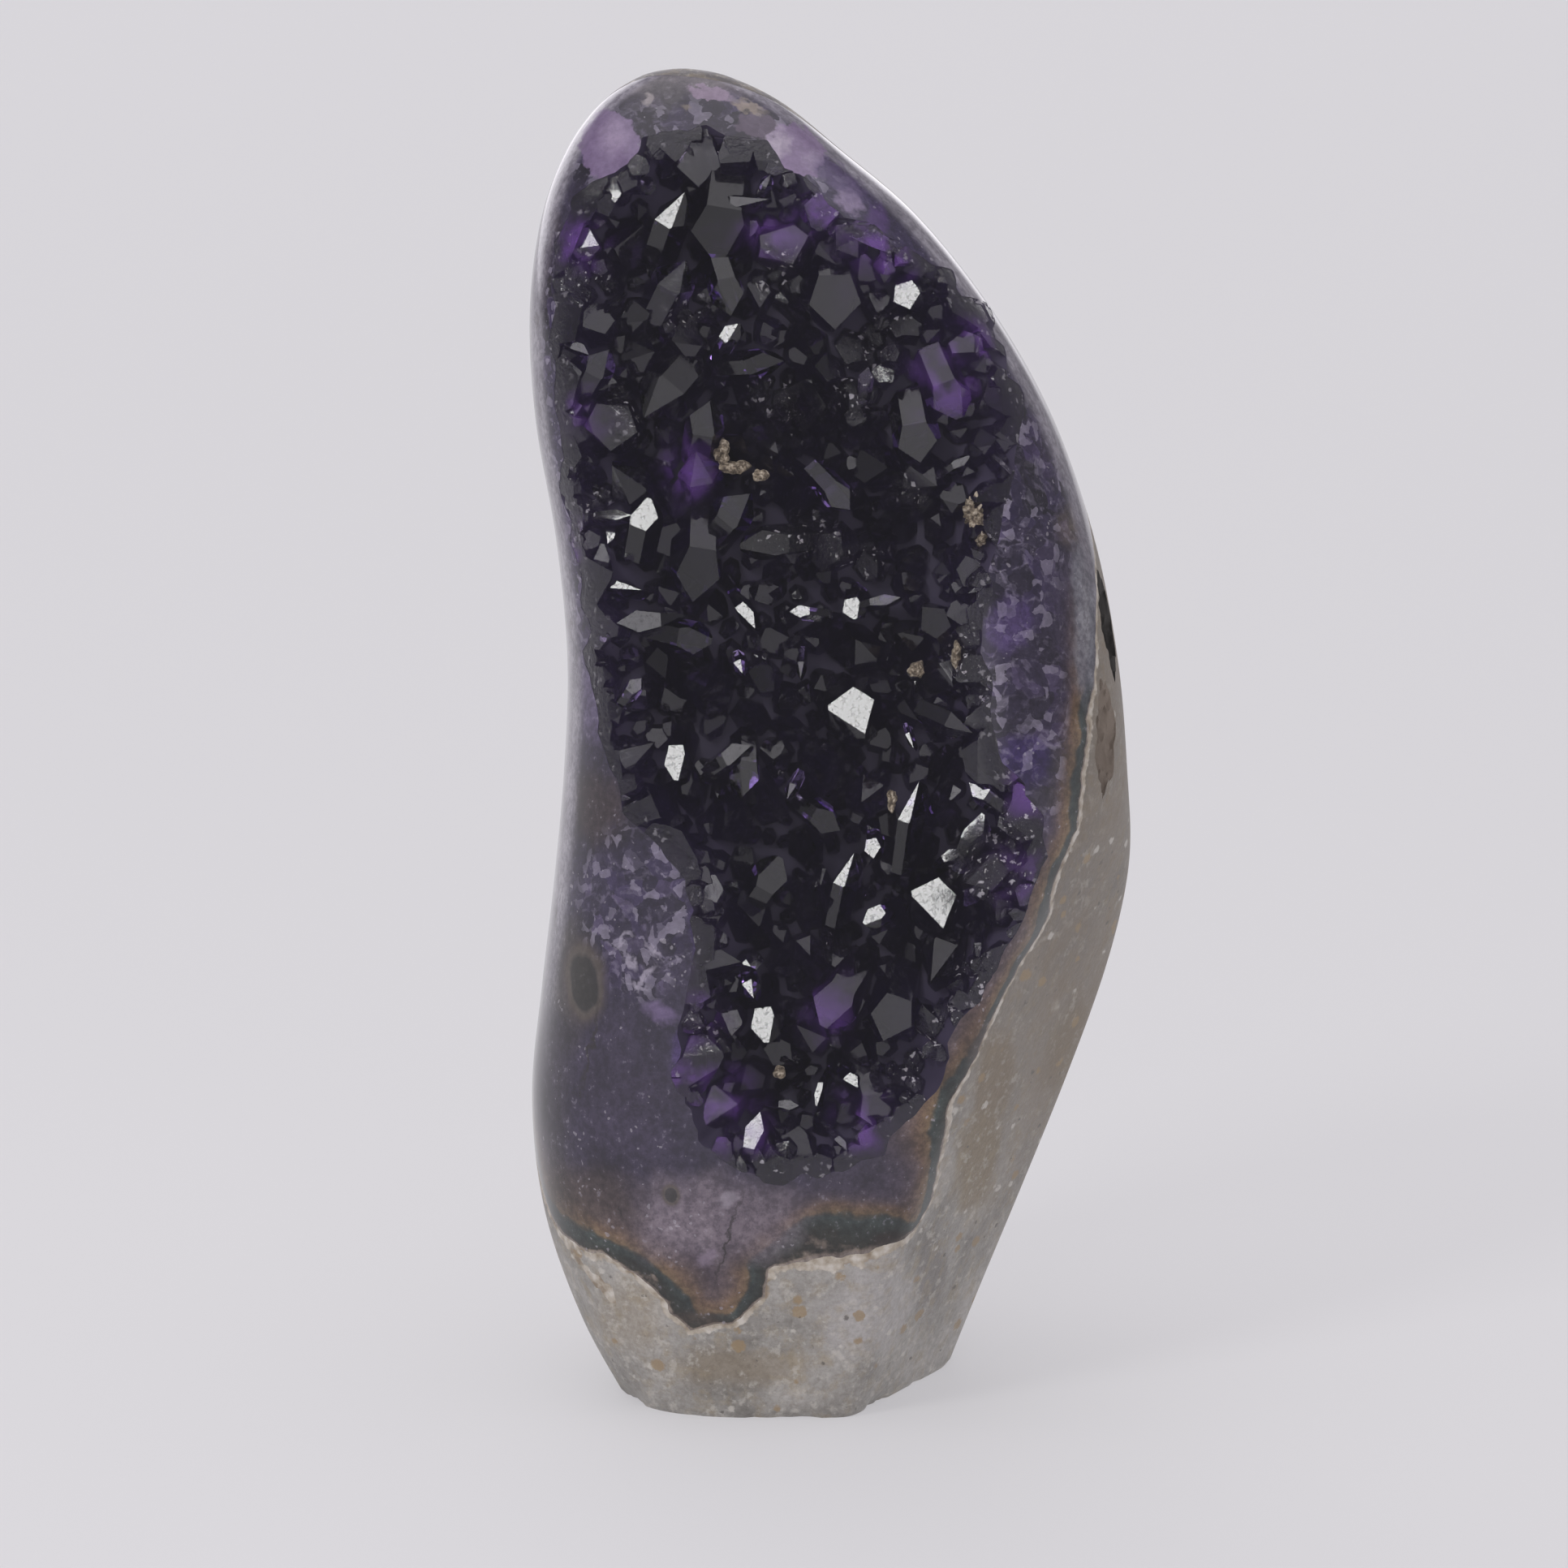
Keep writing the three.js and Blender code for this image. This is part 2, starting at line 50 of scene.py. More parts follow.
def addNode(tree, kind, inputs=None, stops=(), **settings):  # an input takes a value, socket or node
    node = tree.nodes.new("ShaderNode" + kind)
    if kind == "Mix":
        node.data_type = "RGBA"
    for name, value in settings.items():
        setattr(node, name, value)
    for name, value in (inputs or {}).items():
        if isinstance(value, bpy.types.Node):
            value = next(output for output in value.outputs if output.enabled)
        if isinstance(value, bpy.types.NodeSocket):
            tree.links.new(value, node.inputs[name])
        else:
            node.inputs[name].default_value = value
    for i, (place, hexColour) in enumerate(stops):
        ramp = node.color_ramp.elements
        stop = ramp[i] if i < 2 else ramp.new(place)
        stop.position, stop.color = place, linear(hexColour)
    return node


def deselectAll():
    for piece in bpy.context.selected_objects:
        piece.select_set(False)


def readPoints(piece):
    flat = np.zeros(len(piece.data.vertices) * 3)
    piece.data.vertices.foreach_get("co", flat)
    return flat.reshape(-1, 3) / mm


def writePoints(piece, points):
    piece.data.vertices.foreach_set("co", (points * mm).astype(np.float32).ravel())
    piece.data.update()


def writeAttribute(piece, name, values, kind="FLOAT", domain="POINT"):
    attribute = piece.data.attributes.new(name, kind, domain)
    field = "value" if kind == "FLOAT" else "color"
    attribute.data.foreach_set(field, np.asarray(values, np.float32).ravel())


def combine(piece, operation, other, keep=False):
    deselectAll()
    bpy.context.view_layer.objects.active = piece
    cut = piece.modifiers.new("cut", "BOOLEAN")
    cut.operation, cut.solver, cut.object = operation, "MANIFOLD", other
    bpy.ops.object.modifier_apply(modifier=cut.name)
    if not keep:
        bpy.data.objects.remove(other)


def copyOf(piece, name):
    twin = piece.copy()
    twin.data = piece.data.copy()
    twin.name = name
    bpy.context.scene.collection.objects.link(twin)
    return twin


def smoothStep(value, low, high):
    t = np.clip((value - low) / (high - low), 0, 1)
    return t * t * (3 - 2 * t)


def fractal(points, size, octaves=4, seed=0.0):
    shift = Vector((seed, 2.3 * seed, -1.7 * seed))
    return np.array([noise.fractal(Vector(p) / size + shift, 1.0, 2.0, octaves) for p in points])


# The ground form

stone = {
    # each level's height, and how far it reaches left, right, to the front and to the back
    "levels": [
        (0, -25, 26.5, 26.3, 28),
        (12, -31.2, 31.5, 30, 32),
        (28, -36.5, 38.5, 34.5, 36),
        (45, -38.3, 45.5, 36.5, 38.5),
        (62, -36.7, 51, 37, 40),
        (78, -34.8, 53.2, 36.5, 40.5),
        (95, -33.2, 51.9, 35.5, 40),
        (112, -32.6, 50.2, 34, 38.5),
        (130, -34.2, 46.6, 32, 36),
        (148, -37.2, 40.3, 29, 32),
        (164, -38, 31.2, 25.5, 27.5),
        (178, -36.2, 20, 20.5, 21.5),
        (188, -32.4, 8.4, 15, 15.5),
        (195, -27.2, -0.4, 9.5, 9.5),
        (198.9, -21.3, -8.5, 4.8, 4.5),
        (200, -16.4, -14.2, 1.2, 1.2),
    ],
    "frontSquareness": 3.0,
    "backSquareness": 2.3,
    "flankFoot": (25.4, 6, 0),
    "flankPlanAngle": -25.5,  # degrees
    "flankLean": 19,  # degrees
    "flankSharpness": 26,
    "lumpHeight": 0.7,
    "grainHeight": 1.7,  # of the broken back, on top of the lumps
    "grainSizes": (19, 5),
    "chips": (6, 1.6, 3.2),  # along the base: their size, depth and how high they reach
    "bevel": (0.45, 0.9),  # of the base's edge: how far it cuts in and how high it reaches
    "segments": 300,
    "rings": 250,
    "baseRings": 0.06,  # the share of the rings that the sawn base takes
}
levelColumns = dict(zip(("z", "left", "right", "front", "back"), np.array(stone["levels"], float).T))
levelSteps = np.linspace(0, len(stone["levels"]) - 1, 3001)


def levelValue(key, at):
    column = levelColumns[key]
    last = len(column) - 1
    i = np.minimum(np.floor(at).astype(int), last - 1)
    t = at - i
    p, q, r, s = (column[np.clip(i + k, 0, last)] for k in (-1, 0, 1, 2))
    return q + 0.5 * t * (r - p + t * (2 * p - 5 * q + 4 * r - s + t * (3 * q - p - 3 * r + s)))


def levelAt(z):
    return np.interp(z, levelValue("z", levelSteps), levelSteps)


def frontAt(x, z):
    at = levelAt(z)
    left, right = levelValue("left", at), levelValue("right", at)
    aside = np.abs(x - (left + right) / 2) / ((right - left) / 2)
    square = stone["frontSquareness"]
    return -levelValue("front", at) * np.maximum(0, 1 - aside**square) ** (1 / square)


def reach(at, angle):
    left, right = levelValue("left", at), levelValue("right", at)
    cosine, sine = np.cos(angle), np.sin(angle)
    depth = np.where(sine < 0, levelValue("front", at), levelValue("back", at))
    power = np.where(sine < 0, stone["frontSquareness"], stone["backSquareness"])
    across = np.abs(cosine / ((right - left) / 2)) ** power
    curved = (across + np.abs(sine / depth) ** power) ** (-1 / power)
    plan, lean = math.radians(stone["flankPlanAngle"]), math.radians(stone["flankLean"])
    flank = (math.cos(plan) * math.cos(lean), math.sin(plan) * math.cos(lean), -math.sin(lean))
    foot = stone["flankFoot"]
    offset = flank[0] * (foot[0] - (left + right) / 2) + flank[1] * foot[1]
    offset = offset + flank[2] * (foot[2] - levelValue("z", at))
    towards = flank[0] * cosine + flank[1] * sine
    flat = offset / np.maximum(towards, 0.05)
    sharp = stone["flankSharpness"]
    joined = (curved**-sharp + flat**-sharp) ** (-1 / sharp)
    return np.where(towards < 0.05, curved, joined)


def lumps(x, y, z):
    return (
        np.sin(0.19 * x + 0.13 * z + 0.7) * np.cos(0.11 * z - 0.16 * y)
        + 0.6 * np.sin(0.31 * z + 0.27 * x - 1.9) * np.sin(0.29 * y + 0.22 * x)
        + 0.35 * np.sin(0.47 * x + 0.18 * z + 0.4) * np.cos(0.41 * z - 0.23 * x)
    )


def makeGround(name, inset):
    deselectAll()
    bpy.ops.mesh.primitive_uv_sphere_add(segments=stone["segments"], ring_count=stone["rings"], radius=1)
    ground = bpy.context.object
    ground.name = name
    unit = readPoints(ground) * mm
    up = np.arccos(np.clip(-unit[:, 2], -1, 1)) / math.pi
    angle = np.arctan2(unit[:, 1], unit[:, 0])
    share = np.clip(up / stone["baseRings"], 0, 1)
    rise = np.clip((up - stone["baseRings"]) / (1 - stone["baseRings"]), 0, 1)
    at = rise * (len(stone["levels"]) - 1)
    share = np.where(up > 0.9999, 0, share)
    middle = (levelValue("left", at) + levelValue("right", at)) / 2
    z = levelValue("z", at)
    far = reach(at, angle)
    x, y = middle + far * np.cos(angle), far * np.sin(angle)
    natural = smoothStep(np.sin(angle), 0.25, 0.7)
    natural = natural * smoothStep(z, 4, 30) * (1 - smoothStep(z, 170, 192))
    spots = np.stack([x, y, z], axis=1)
    coarse, fine = (fractal(spots, *grain) for grain in zip(stone["grainSizes"], (6, 4), (3.1, 7.7)))
    grain = (1.2 * coarse + 0.3 * fine) * stone["grainHeight"]
    far = far + natural * (stone["lumpHeight"] * lumps(x, y, z) + grain) - inset
    chipSize, chipDepth, chipHeight = stone["chips"]
    bevel, bevelHeight = stone["bevel"]
    chipped = np.maximum(0, fractal(spots, chipSize, 3, 8.4)) * (1 - smoothStep(z, 0, chipHeight))
    far = far - chipDepth * chipped - bevel * (1 - smoothStep(z, 0, bevelHeight))
    points = np.stack([middle + share * far * np.cos(angle), share * far * np.sin(angle), z], axis=1)
    writePoints(ground, points)
    return ground


# The contact between the rock and the agate

contact = {
    # where it shows on the ground surface, seen from the front
    "line": [
        (-70, 30), (-38, 29.5), (-31.4, 26.3), (-26, 25.4), (-21.1, 22.5), (-18.2, 19.8),
        (-16.8, 17.2), (-13.7, 14.5), (-7.6, 16.1), (-3, 19.8), (-2.4, 24.4), (1, 25.7), (9, 26.7),
        (16.5, 28.4), (20.7, 27.7), (24.3, 31), (24.3, 37.9), (25.2, 43.4), (24.6, 48.4),
        (28.5, 53.3), (32.9, 62), (37, 67.8), (41.5, 72.5), (41, 80), (44, 88), (44.3, 99),
        (46, 114.5), (47, 124), (50, 136), (70, 150),
    ],
    "shear": (-0.5, 0.75),  # how far it climbs inwards, along x and z, for each mm of depth
    "rindBack": 6,
    "rindBackAtCrown": -3,
    "raggedness": 0.6,
    "raggedSize": 2.8,
    "step": 0.9,
}


def raggedLine(form, line, octaves, seeds, short=0.0):
    line = np.array(line, float)
    along = np.concatenate([[0], np.cumsum(np.linalg.norm(np.diff(line, axis=0), axis=1))])
    steps = np.arange(0, along[-1] - short, form["step"])
    x, z = np.interp(steps, along, line[:, 0]), np.interp(steps, along, line[:, 1])
    spots = np.stack([x, np.zeros_like(x), z], axis=1)
    aside, up = (form["raggedness"] * fractal(spots, form["raggedSize"], octaves, seed) for seed in seeds)
    return x + aside, z + up


def contactPoints():
    x, z = raggedLine(contact, contact["line"], 4, (1.3, 6.7))
    depth = frontAt(np.clip(x, -34, 46), np.clip(z, 8, 190))
    return np.stack([x - contact["shear"][0] * depth, z - contact["shear"][1] * depth], axis=1)


def rindBackAt(x, z):
    crown = smoothStep(z, 150, 200)
    depth = contact["rindBack"] * (1 - crown) + contact["rindBackAtCrown"] * crown
    return depth + 1.5 * np.sin(0.12 * x + 0.09 * z) + np.sin(0.21 * z)


def besideLine(line, closed, x, z):
    starts = np.array(line, float)
    ends = np.roll(starts, -1, axis=0)
    if not closed:
        starts, ends = starts[:-1], ends[:-1]
    best = np.full(len(x), 1e9)
    side = np.ones(len(x))
    for (ax, az), (bx, bz) in zip(starts, ends):
        dx, dz = bx - ax, bz - az
        near = np.clip(((x - ax) * dx + (z - az) * dz) / (dx * dx + dz * dz), 0, 1)
        distance = np.hypot(x - ax - near * dx, z - az - near * dz)
        closer = distance < best - 1e-9
        best = np.where(closer, distance, best)
        side = np.where(closer, np.where(dx * (z - az) - dz * (x - ax) < 0, -1, 1), side)
    return side * best


def intoRind(points):
    x, y, z = points.T
    aside = besideLine(contactPoints(), False, x - contact["shear"][0] * y, z - contact["shear"][1] * y)
    return np.minimum(aside, rindBackAt(x, z) - y)


def makeSheet(name, columns, rows, place, push):  # a grid laid by place and pushed into a block
    deselectAll()
    bpy.ops.mesh.primitive_grid_add(x_subdivisions=columns, y_subdivisions=rows, size=2)
    sheet = bpy.context.object
    sheet.name = name
    unit = readPoints(sheet) * mm
    writePoints(sheet, place((unit[:, 0] + 1) / 2, (unit[:, 1] + 1) / 2))
    bpy.ops.object.mode_set(mode="EDIT")
    bpy.ops.mesh.select_all(action="SELECT")
    bpy.ops.mesh.extrude_region_move(TRANSFORM_OT_translate={"value": [p * mm for p in push]})
    bpy.ops.mesh.select_all(action="SELECT")
    bpy.ops.mesh.normals_make_consistent(inside=False)
    bpy.ops.object.mode_set(mode="OBJECT")
    return sheet


def makeRindBlock():
    line = contactPoints()

    def place(u, v):
        i = u * (len(line) - 1)
        y = -60 + 120 * v
        x = np.interp(i, np.arange(len(line)), line[:, 0]) + contact["shear"][0] * y
        z = np.interp(i, np.arange(len(line)), line[:, 1]) + contact["shear"][1] * y
        return np.stack([x, y, z], axis=1)

    def placeBack(u, v):
        x, z = -70 + 150 * u, -20 + 240 * v
        return np.stack([x, rindBackAt(x, z), z], axis=1)

    block = makeSheet("rindBlock", len(line) - 1, 40, place, (-120, 0, 400))
    combine(block, "INTERSECT", makeSheet("rindFront", 50, 80, placeBack, (0, -160, 0)))
    return block


# The bed that the crystals grew on

bed = {
    "edge": [
        (-21.5, 191), (-23, 187), (-27, 185.4), (-31, 182), (-33.2, 176), (-34.2, 170), (-34.8, 163.7),
        (-34.5, 152.3), (-33.4, 145), (-32, 136), (-30.8, 126.5), (-29.6, 117), (-28.4, 107.6),
        (-26.8, 99.3), (-23.3, 92.4), (-19.2, 87.7), (-14.6, 84), (-13.4, 75.7), (-15.2, 66),
        (-16.2, 59), (-16, 53), (-14.4, 47), (-9.6, 41), (-1.9, 38.2), (6.4, 39), (14.7, 43),
        (21.9, 50.8), (25.6, 59), (30.4, 68), (35.4, 75.6), (38.4, 82), (39, 88), (37.2, 94.4),
        (32.4, 100.5), (30.6, 110.4), (29.6, 121), (31, 130), (33, 139), (34.6, 146), (35.6, 152.6),
        (33, 159.3), (29.8, 164), (24.8, 170.9), (19.6, 174.6), (14.1, 177), (9, 180.4), (4, 184.8),
        (-3.1, 189.6), (-11.4, 192.4), (-17, 191.8),
    ],
    "depth": 12,
    "wall": 7,
    "wave": 0.8,
    "lip": 0.6,
    "margin": (9, 6),  # how far its outermost column and row lie outside the edge
    "columns": 44,
    "rows": 150,
    "raggedness": 1.5,
    "raggedSize": 4.2,
    "step": 1.2,
    "sunk": 0.35,  # how far the crust's underside lies inside the rock, so that no air shows there
    "crust": -0.1,  # how far the crust stands out of the rock between the crystals
}


bedEdge = np.stack(raggedLine(bed, bed["edge"] + bed["edge"][:1], 3, (2.2, 9.1), 0.5), axis=1)
bedHeights = bedEdge[:, 1]
mapStep = 0.5
mapX, mapZ = np.arange(-50, 60, mapStep), np.arange(10, 215, mapStep)
insideMap = besideLine(bedEdge, True, np.repeat(mapX, len(mapZ)), np.tile(mapZ, len(mapX)))
insideMap = insideMap.reshape(len(mapX), len(mapZ))


def insideBed(x, z):
    i = np.clip((x - mapX[0]) / mapStep, 0, len(mapX) - 1.001)
    k = np.clip((z - mapZ[0]) / mapStep, 0, len(mapZ) - 1.001)
    a, b = i.astype(int), k.astype(int)
    u, v = i - a, k - b
    near = insideMap[a, b] * (1 - v) + insideMap[a, b + 1] * v
    far = insideMap[a + 1, b] * (1 - v) + insideMap[a + 1, b + 1] * v
    return near * (1 - u) + far * u


def bedAt(x, z):
    inside = insideBed(x, z)
    edge = frontAt(x, z) - bed["lip"]
    wave = bed["wave"] * np.sin(0.33 * x + 0.21 * z) * np.sin(0.17 * z - 0.24 * x + 1.1)
    sunk = (bed["depth"] + wave) * (1 - np.exp(-np.maximum(inside, 0) / bed["wall"]))
    return np.where(inside <= 0, edge + 6 * inside, edge + sunk)


def bedSpan(z):
    left, right = np.full(len(z), 1e9), np.full(len(z), -1e9)
    for (ax, az), (bx, bz) in zip(bedEdge, np.roll(bedEdge, -1, axis=0)):
        crossed = ((az - z) * (bz - z) <= 0) & (az != bz)
        x = ax + (bx - ax) * (z - az) / (bz - az if az != bz else 1)
        left = np.where(crossed, np.minimum(left, x), left)
        right = np.where(crossed, np.maximum(right, x), right)
    return left, right


def makeBedBlock(name, outwards, push):
    def spread(t, count):
        inner = np.clip((t * count - 1) / (count - 2), 0, 1)
        outside = np.where(t < 0.5 / count, -1, np.where(t > 1 - 0.5 / count, 1, 0))
        return (1 - np.cos(math.pi * inner)) / 2, outside

    def place(u, v):
        across, beyondX = spread(u, bed["columns"])
        up, beyondZ = spread(v, bed["rows"])
        z = bedHeights.min() + 0.3 + (bedHeights.max() - bedHeights.min() - 0.6) * up
        left, right = bedSpan(z)
        x = left + (right - left) * across + bed["margin"][0] * beyondX
        z = z + bed["margin"][1] * beyondZ
        slopeX = bedAt(x + 0.5, z) - bedAt(x - 0.5, z)
        slopeZ = bedAt(x, z + 0.5) - bedAt(x, z - 0.5)
        steep = np.minimum(np.sqrt(1 + slopeX**2 + slopeZ**2), 3)
        return np.stack([x, bedAt(x, z) - outwards * steep, z], axis=1)

    return makeSheet(name, bed["columns"], bed["rows"], place, push)


# The crystals

crystals = {
    "faceAngle": 51.8,  # degrees between a crystal's axis and the normals of its end faces
    # how deep each of the six end faces cuts below the tip, one row for each habit
    "habits": (
        (0.14, -0.25, 0.0, -0.15, 0.03, -0.25),
        (0.1, 0.06, 0.0, -0.2, 0.05, 0.1),
        (0.16, 0.1, -0.05, -0.1, 0.08, -0.2),
        (0.2, -0.1, 0.1, 0.1, -0.05, 0.05),
        (0.0, -0.12, 0.05, -0.2, 0.1, -0.08),
        (0.0, -0.3, 0.12, -0.1, 0.03, -0.05),
        (0.05, 0.02, 0.0, -0.15, 0.12, -0.1),
        (0.02, 0.04, 0.0, 0.06, 0.03, 0.0),
    ),
    "shownHeight": 6.5,
    # width from and to, throws, and how near each may stand to the others
    "sizes": ((8.5, 12, 1000, 0.8), (5.5, 8.2, 2000, 0.66), (2.8, 5.2, 6000, 0.52)),
    "field": ((-40, 43), (33, 197)),  # where they are thrown, along x and z
    "edgeCloseness": 0.72,  # how much nearer they stand at the edge of the hollow
    "tilt": 1.2,
    # faces that mirror the soft box: x, z, width, the way the tip leans in degrees, 90 being right,
    # and how slim the crystal is
    "litFaces": [
        (-25, 184, 7, 170, 0.8), (-16.5, 180, 8, 30, 0.75), (-29.5, 175.5, 6, 100, 1),
        (4.5, 184, 8, 140, 0.4), (18, 168, 5.5, 160, 1), (23, 170, 4.5, 110, 1),
        (-8, 162.5, 4.5, 40, 0.7), (-20.5, 136.5, 6.5, 20, 0.9), (-25, 136, 6, 90, 0.35),
        (-23.5, 125.5, 7, 100, 0.4), (-5.5, 121.5, 6, 140, 0.5), (10, 122.5, 4.5, 165, 0.9),
        (2.5, 122, 4, 265, 0.6), (-6.5, 114, 3, 150, 0.8), (10, 107.5, 9.5, 140, 1.05),
        (-16, 100, 7.5, 175, 0.6), (29, 111, 4, 120, 0.6), (18.5, 94, 9, 15, 0.42),
        (28.5, 96.5, 4.5, 300, 0.8), (28, 91, 6.5, 30, 0.6), (13, 87.5, 4, 165, 0.8),
        (9, 84, 7.5, 20, 0.5), (22, 79.5, 10, 150, 0.95), (13, 77.5, 5, 230, 0.7),
        (24.5, 86.5, 4, 60, 0.6), (-5, 67, 4, 150, 0.8), (-14, 63, 6, 110, 0.8),
        (-3, 61.5, 7.5, 170, 0.7), (-4.5, 45.5, 7.5, 10, 0.5), (0, 43, 4, 165, 1),
        (10, 53, 3.5, 130, 0.8), (5, 51, 5, 185, 0.3), (-6.5, 40.5, 5, 350, 0.5),
        (18.5, 103.5, 3.5, 150, 0.4), (29, 81.5, 4, 80, 0.7),
    ],
    # faces that mirror the weaker panel, written in the same way
    "greyFaces": [
        (-20.9, 120.5, 8.5, 265, 0.5), (-5.5, 181.5, 8, 85, 0.45), (-11.6, 190.5, 5, 0, 0.7),
        (-27, 129.5, 6, 10, 0.6), (14.5, 124, 6, 80, 0.35), (2.5, 113.7, 3.5, 180, 0.5),
        (-7, 101.5, 6, 60, 0.7), (-10.5, 82, 5.5, 10, 0.8), (32.5, 91.5, 3.5, 170, 0.9),
        (28.5, 72, 6, 180, 0.35), (26, 62.5, 4.5, 150, 0.6), (19.5, 48.5, 4.5, 200, 0.7),
        (0.5, 49.5, 4, 95, 0.5), (-2.5, 184.5, 3.5, 30, 0.6), (8.5, 44, 3.5, 140, 0.5),
        (21, 58, 3.5, 220, 0.6), (-22, 111, 3.5, 40, 0.8), (1, 96, 3.5, 200, 0.6),
        (-30, 160, 4, 120, 0.6), (26, 144, 4, 60, 0.5), (12, 156, 3.5, 10, 0.7),
    ],
    # faces turned to the viewer, written in the same way
    "shadedFaces": [
        (7.5, 167.5, 10.5, 180, 0.95), (-16, 170.5, 7, 30, 1), (-8, 168, 7, 170, 0.8),
        (-9.5, 176.5, 11, 190, 1), (-12.5, 187, 8.5, 180, 1), (-18, 153, 9, 220, 1),
        (-11.5, 150, 7, 10, 0.9), (24.5, 152.5, 8, 160, 0.9), (19.5, 147, 7.5, 170, 1),
        (-12.5, 142.5, 7, 350, 1), (-7, 137, 7.5, 40, 0.9), (-3, 132, 10, 270, 0.55),
        (-12.5, 128, 10.5, 190, 0.8), (-23, 140.5, 8.5, 320, 0.8), (-3, 158, 7.5, 80, 0.6),
        (-13, 118, 7, 100, 0.8), (22, 121, 6.5, 320, 0.9), (-22, 101, 8, 60, 0.9),
        (-5.5, 98, 7, 190, 0.7), (-1.5, 84, 7.5, 30, 0.8), (6, 91.5, 6, 120, 0.8),
        (23, 71.5, 9, 200, 0.8), (-9.5, 71, 8, 90, 0.6), (7, 64, 9, 210, 0.9), (16, 63, 9, 200, 0.9),
        (-10.5, 48.5, 10.5, 220, 0.9), (29.5, 84, 8, 240, 0.9), (2.5, 43, 8, 150, 0.8),
        (13.5, 49, 7, 170, 0.9), (25.5, 106, 6, 120, 0.8), (-27, 158, 6, 30, 0.9),
        (27, 128, 6, 200, 0.8), (8, 139, 6, 140, 0.8),
    ],
    # where the crystals stand upright and show dark: x, z and size
    "darkPlaces": ((-2, 93, 17), (-7, 77, 12), (4, 142, 13), (17, 132, 9), (3, 75, 9), (-2, 150, 8)),
    # where the crystals are paler: x, z and size
    "brightPlaces": (
        (-10.5, 49, 9), (-13, 62, 6), (6.5, 63, 6), (36, 96, 6), (34, 118, 6), (-33, 131, 6),
        (-14, 142, 6), (24, 155, 8), (-30, 175, 6), (14, 176, 8), (-20, 72, 8), (12, 47, 6),
        (-3, 176, 5), (4.6, 180, 6), (16, 172, 5), (27, 160, 6), (-31, 150, 5), (34, 84, 6),
        (-4.5, 45, 4), (-14, 53, 6),
    ),
    # where small pits and steps cover the faces and sparkle, with painted glints as tiny white specks:
    # middle x and z, half width and height
    "sparkling": (
        (-1, 171, 3, 3), (-15, 165.5, 4, 2.5), (12.4, 160, 3, 3), (10.5, 154, 3, 4.5),
        (-1.3, 153, 4, 2.5), (19, 140, 3, 3), (11, 129, 4, 3), (30.5, 84.5, 6, 6), (-27.5, 137, 3, 2),
        (2, 133, 6, 3), (26, 172, 2, 3), (16, 164, 3, 2), (25, 60, 5, 5), (20, 54, 5, 4),
        (29, 111, 2.4, 2.4), (-24, 150, 3, 4), (35, 92.5, 3, 4), (28, 69, 3, 4), (-13, 61, 4, 3),
        (-1, 42, 3, 2), (26, 116, 3, 3), (-29, 170, 3, 4),
    ),
    # the way those faces point: degrees to the right of the viewer's line and upwards, and how much
    # these turn for each mm to the right and upwards, because the eye and the light stand near
    "litNormal": (-16, 24, -0.05, -0.052),
    "greyNormal": (-4, 17, -0.028, -0.028),
    "shadedNormal": (4, 6, -0.028, -0.028),
    "eyeHeight": 92,
    "seed": 11,
}


def faceNormal(kind, x, z):
    aside, up, turnAside, turnUp = crystals[kind]
    a, b = math.radians(aside + turnAside * x), math.radians(up + turnUp * (z - crystals["eyeHeight"]))
    return Vector((math.sin(a) * math.cos(b), -math.cos(a) * math.cos(b), math.sin(b)))


def bedNormal(x, z):
    xs, zs = np.array([x - 1, x + 1, x, x]), np.array([z, z, z - 1, z + 1])
    y = bedAt(xs, zs)
    return Vector((0.25 * (y[1] - y[0]), -1, 0.25 * (y[3] - y[2]))).normalized()


def cutHabit(depths):  # a six-sided crystal 1 wide, its tip at the origin and its axis along Z
    deselectAll()
    bpy.ops.mesh.primitive_cone_add(vertices=6, radius1=0.44, radius2=0.5, depth=2, location=(0, 0, -0.6))
    habit = bpy.context.object
    bpy.ops.object.transform_apply(location=True, rotation=False, scale=False)
    corner = habit.data.vertices[0].co
    turn = math.radians(30) - math.atan2(corner.y, corner.x)
    habit.data.transform(Matrix.Rotation(turn, 4, "Z"))
    slant = math.radians(crystals["faceAngle"])
    bpy.ops.object.mode_set(mode="EDIT")
    for k in range(6):
        side = math.radians(60 * k)
        outwards = (math.cos(side) * math.sin(slant), math.sin(side) * math.sin(slant), math.cos(slant))
        bpy.ops.mesh.select_all(action="SELECT")
        bpy.ops.mesh.bisect(
            plane_co=(0, 0, -depths[k]), plane_no=outwards, use_fill=True, clear_outer=True
        )
    bpy.ops.mesh.select_all(action="SELECT")
    bpy.ops.mesh.normals_make_consistent(inside=False)
    bpy.ops.object.mode_set(mode="OBJECT")
    return habit


def nearPlaces(x, z, places):
    return max(1 - smoothStep(math.hypot(x - a, z - b), 0.6 * size, 1.2 * size) for a, b, size in places)


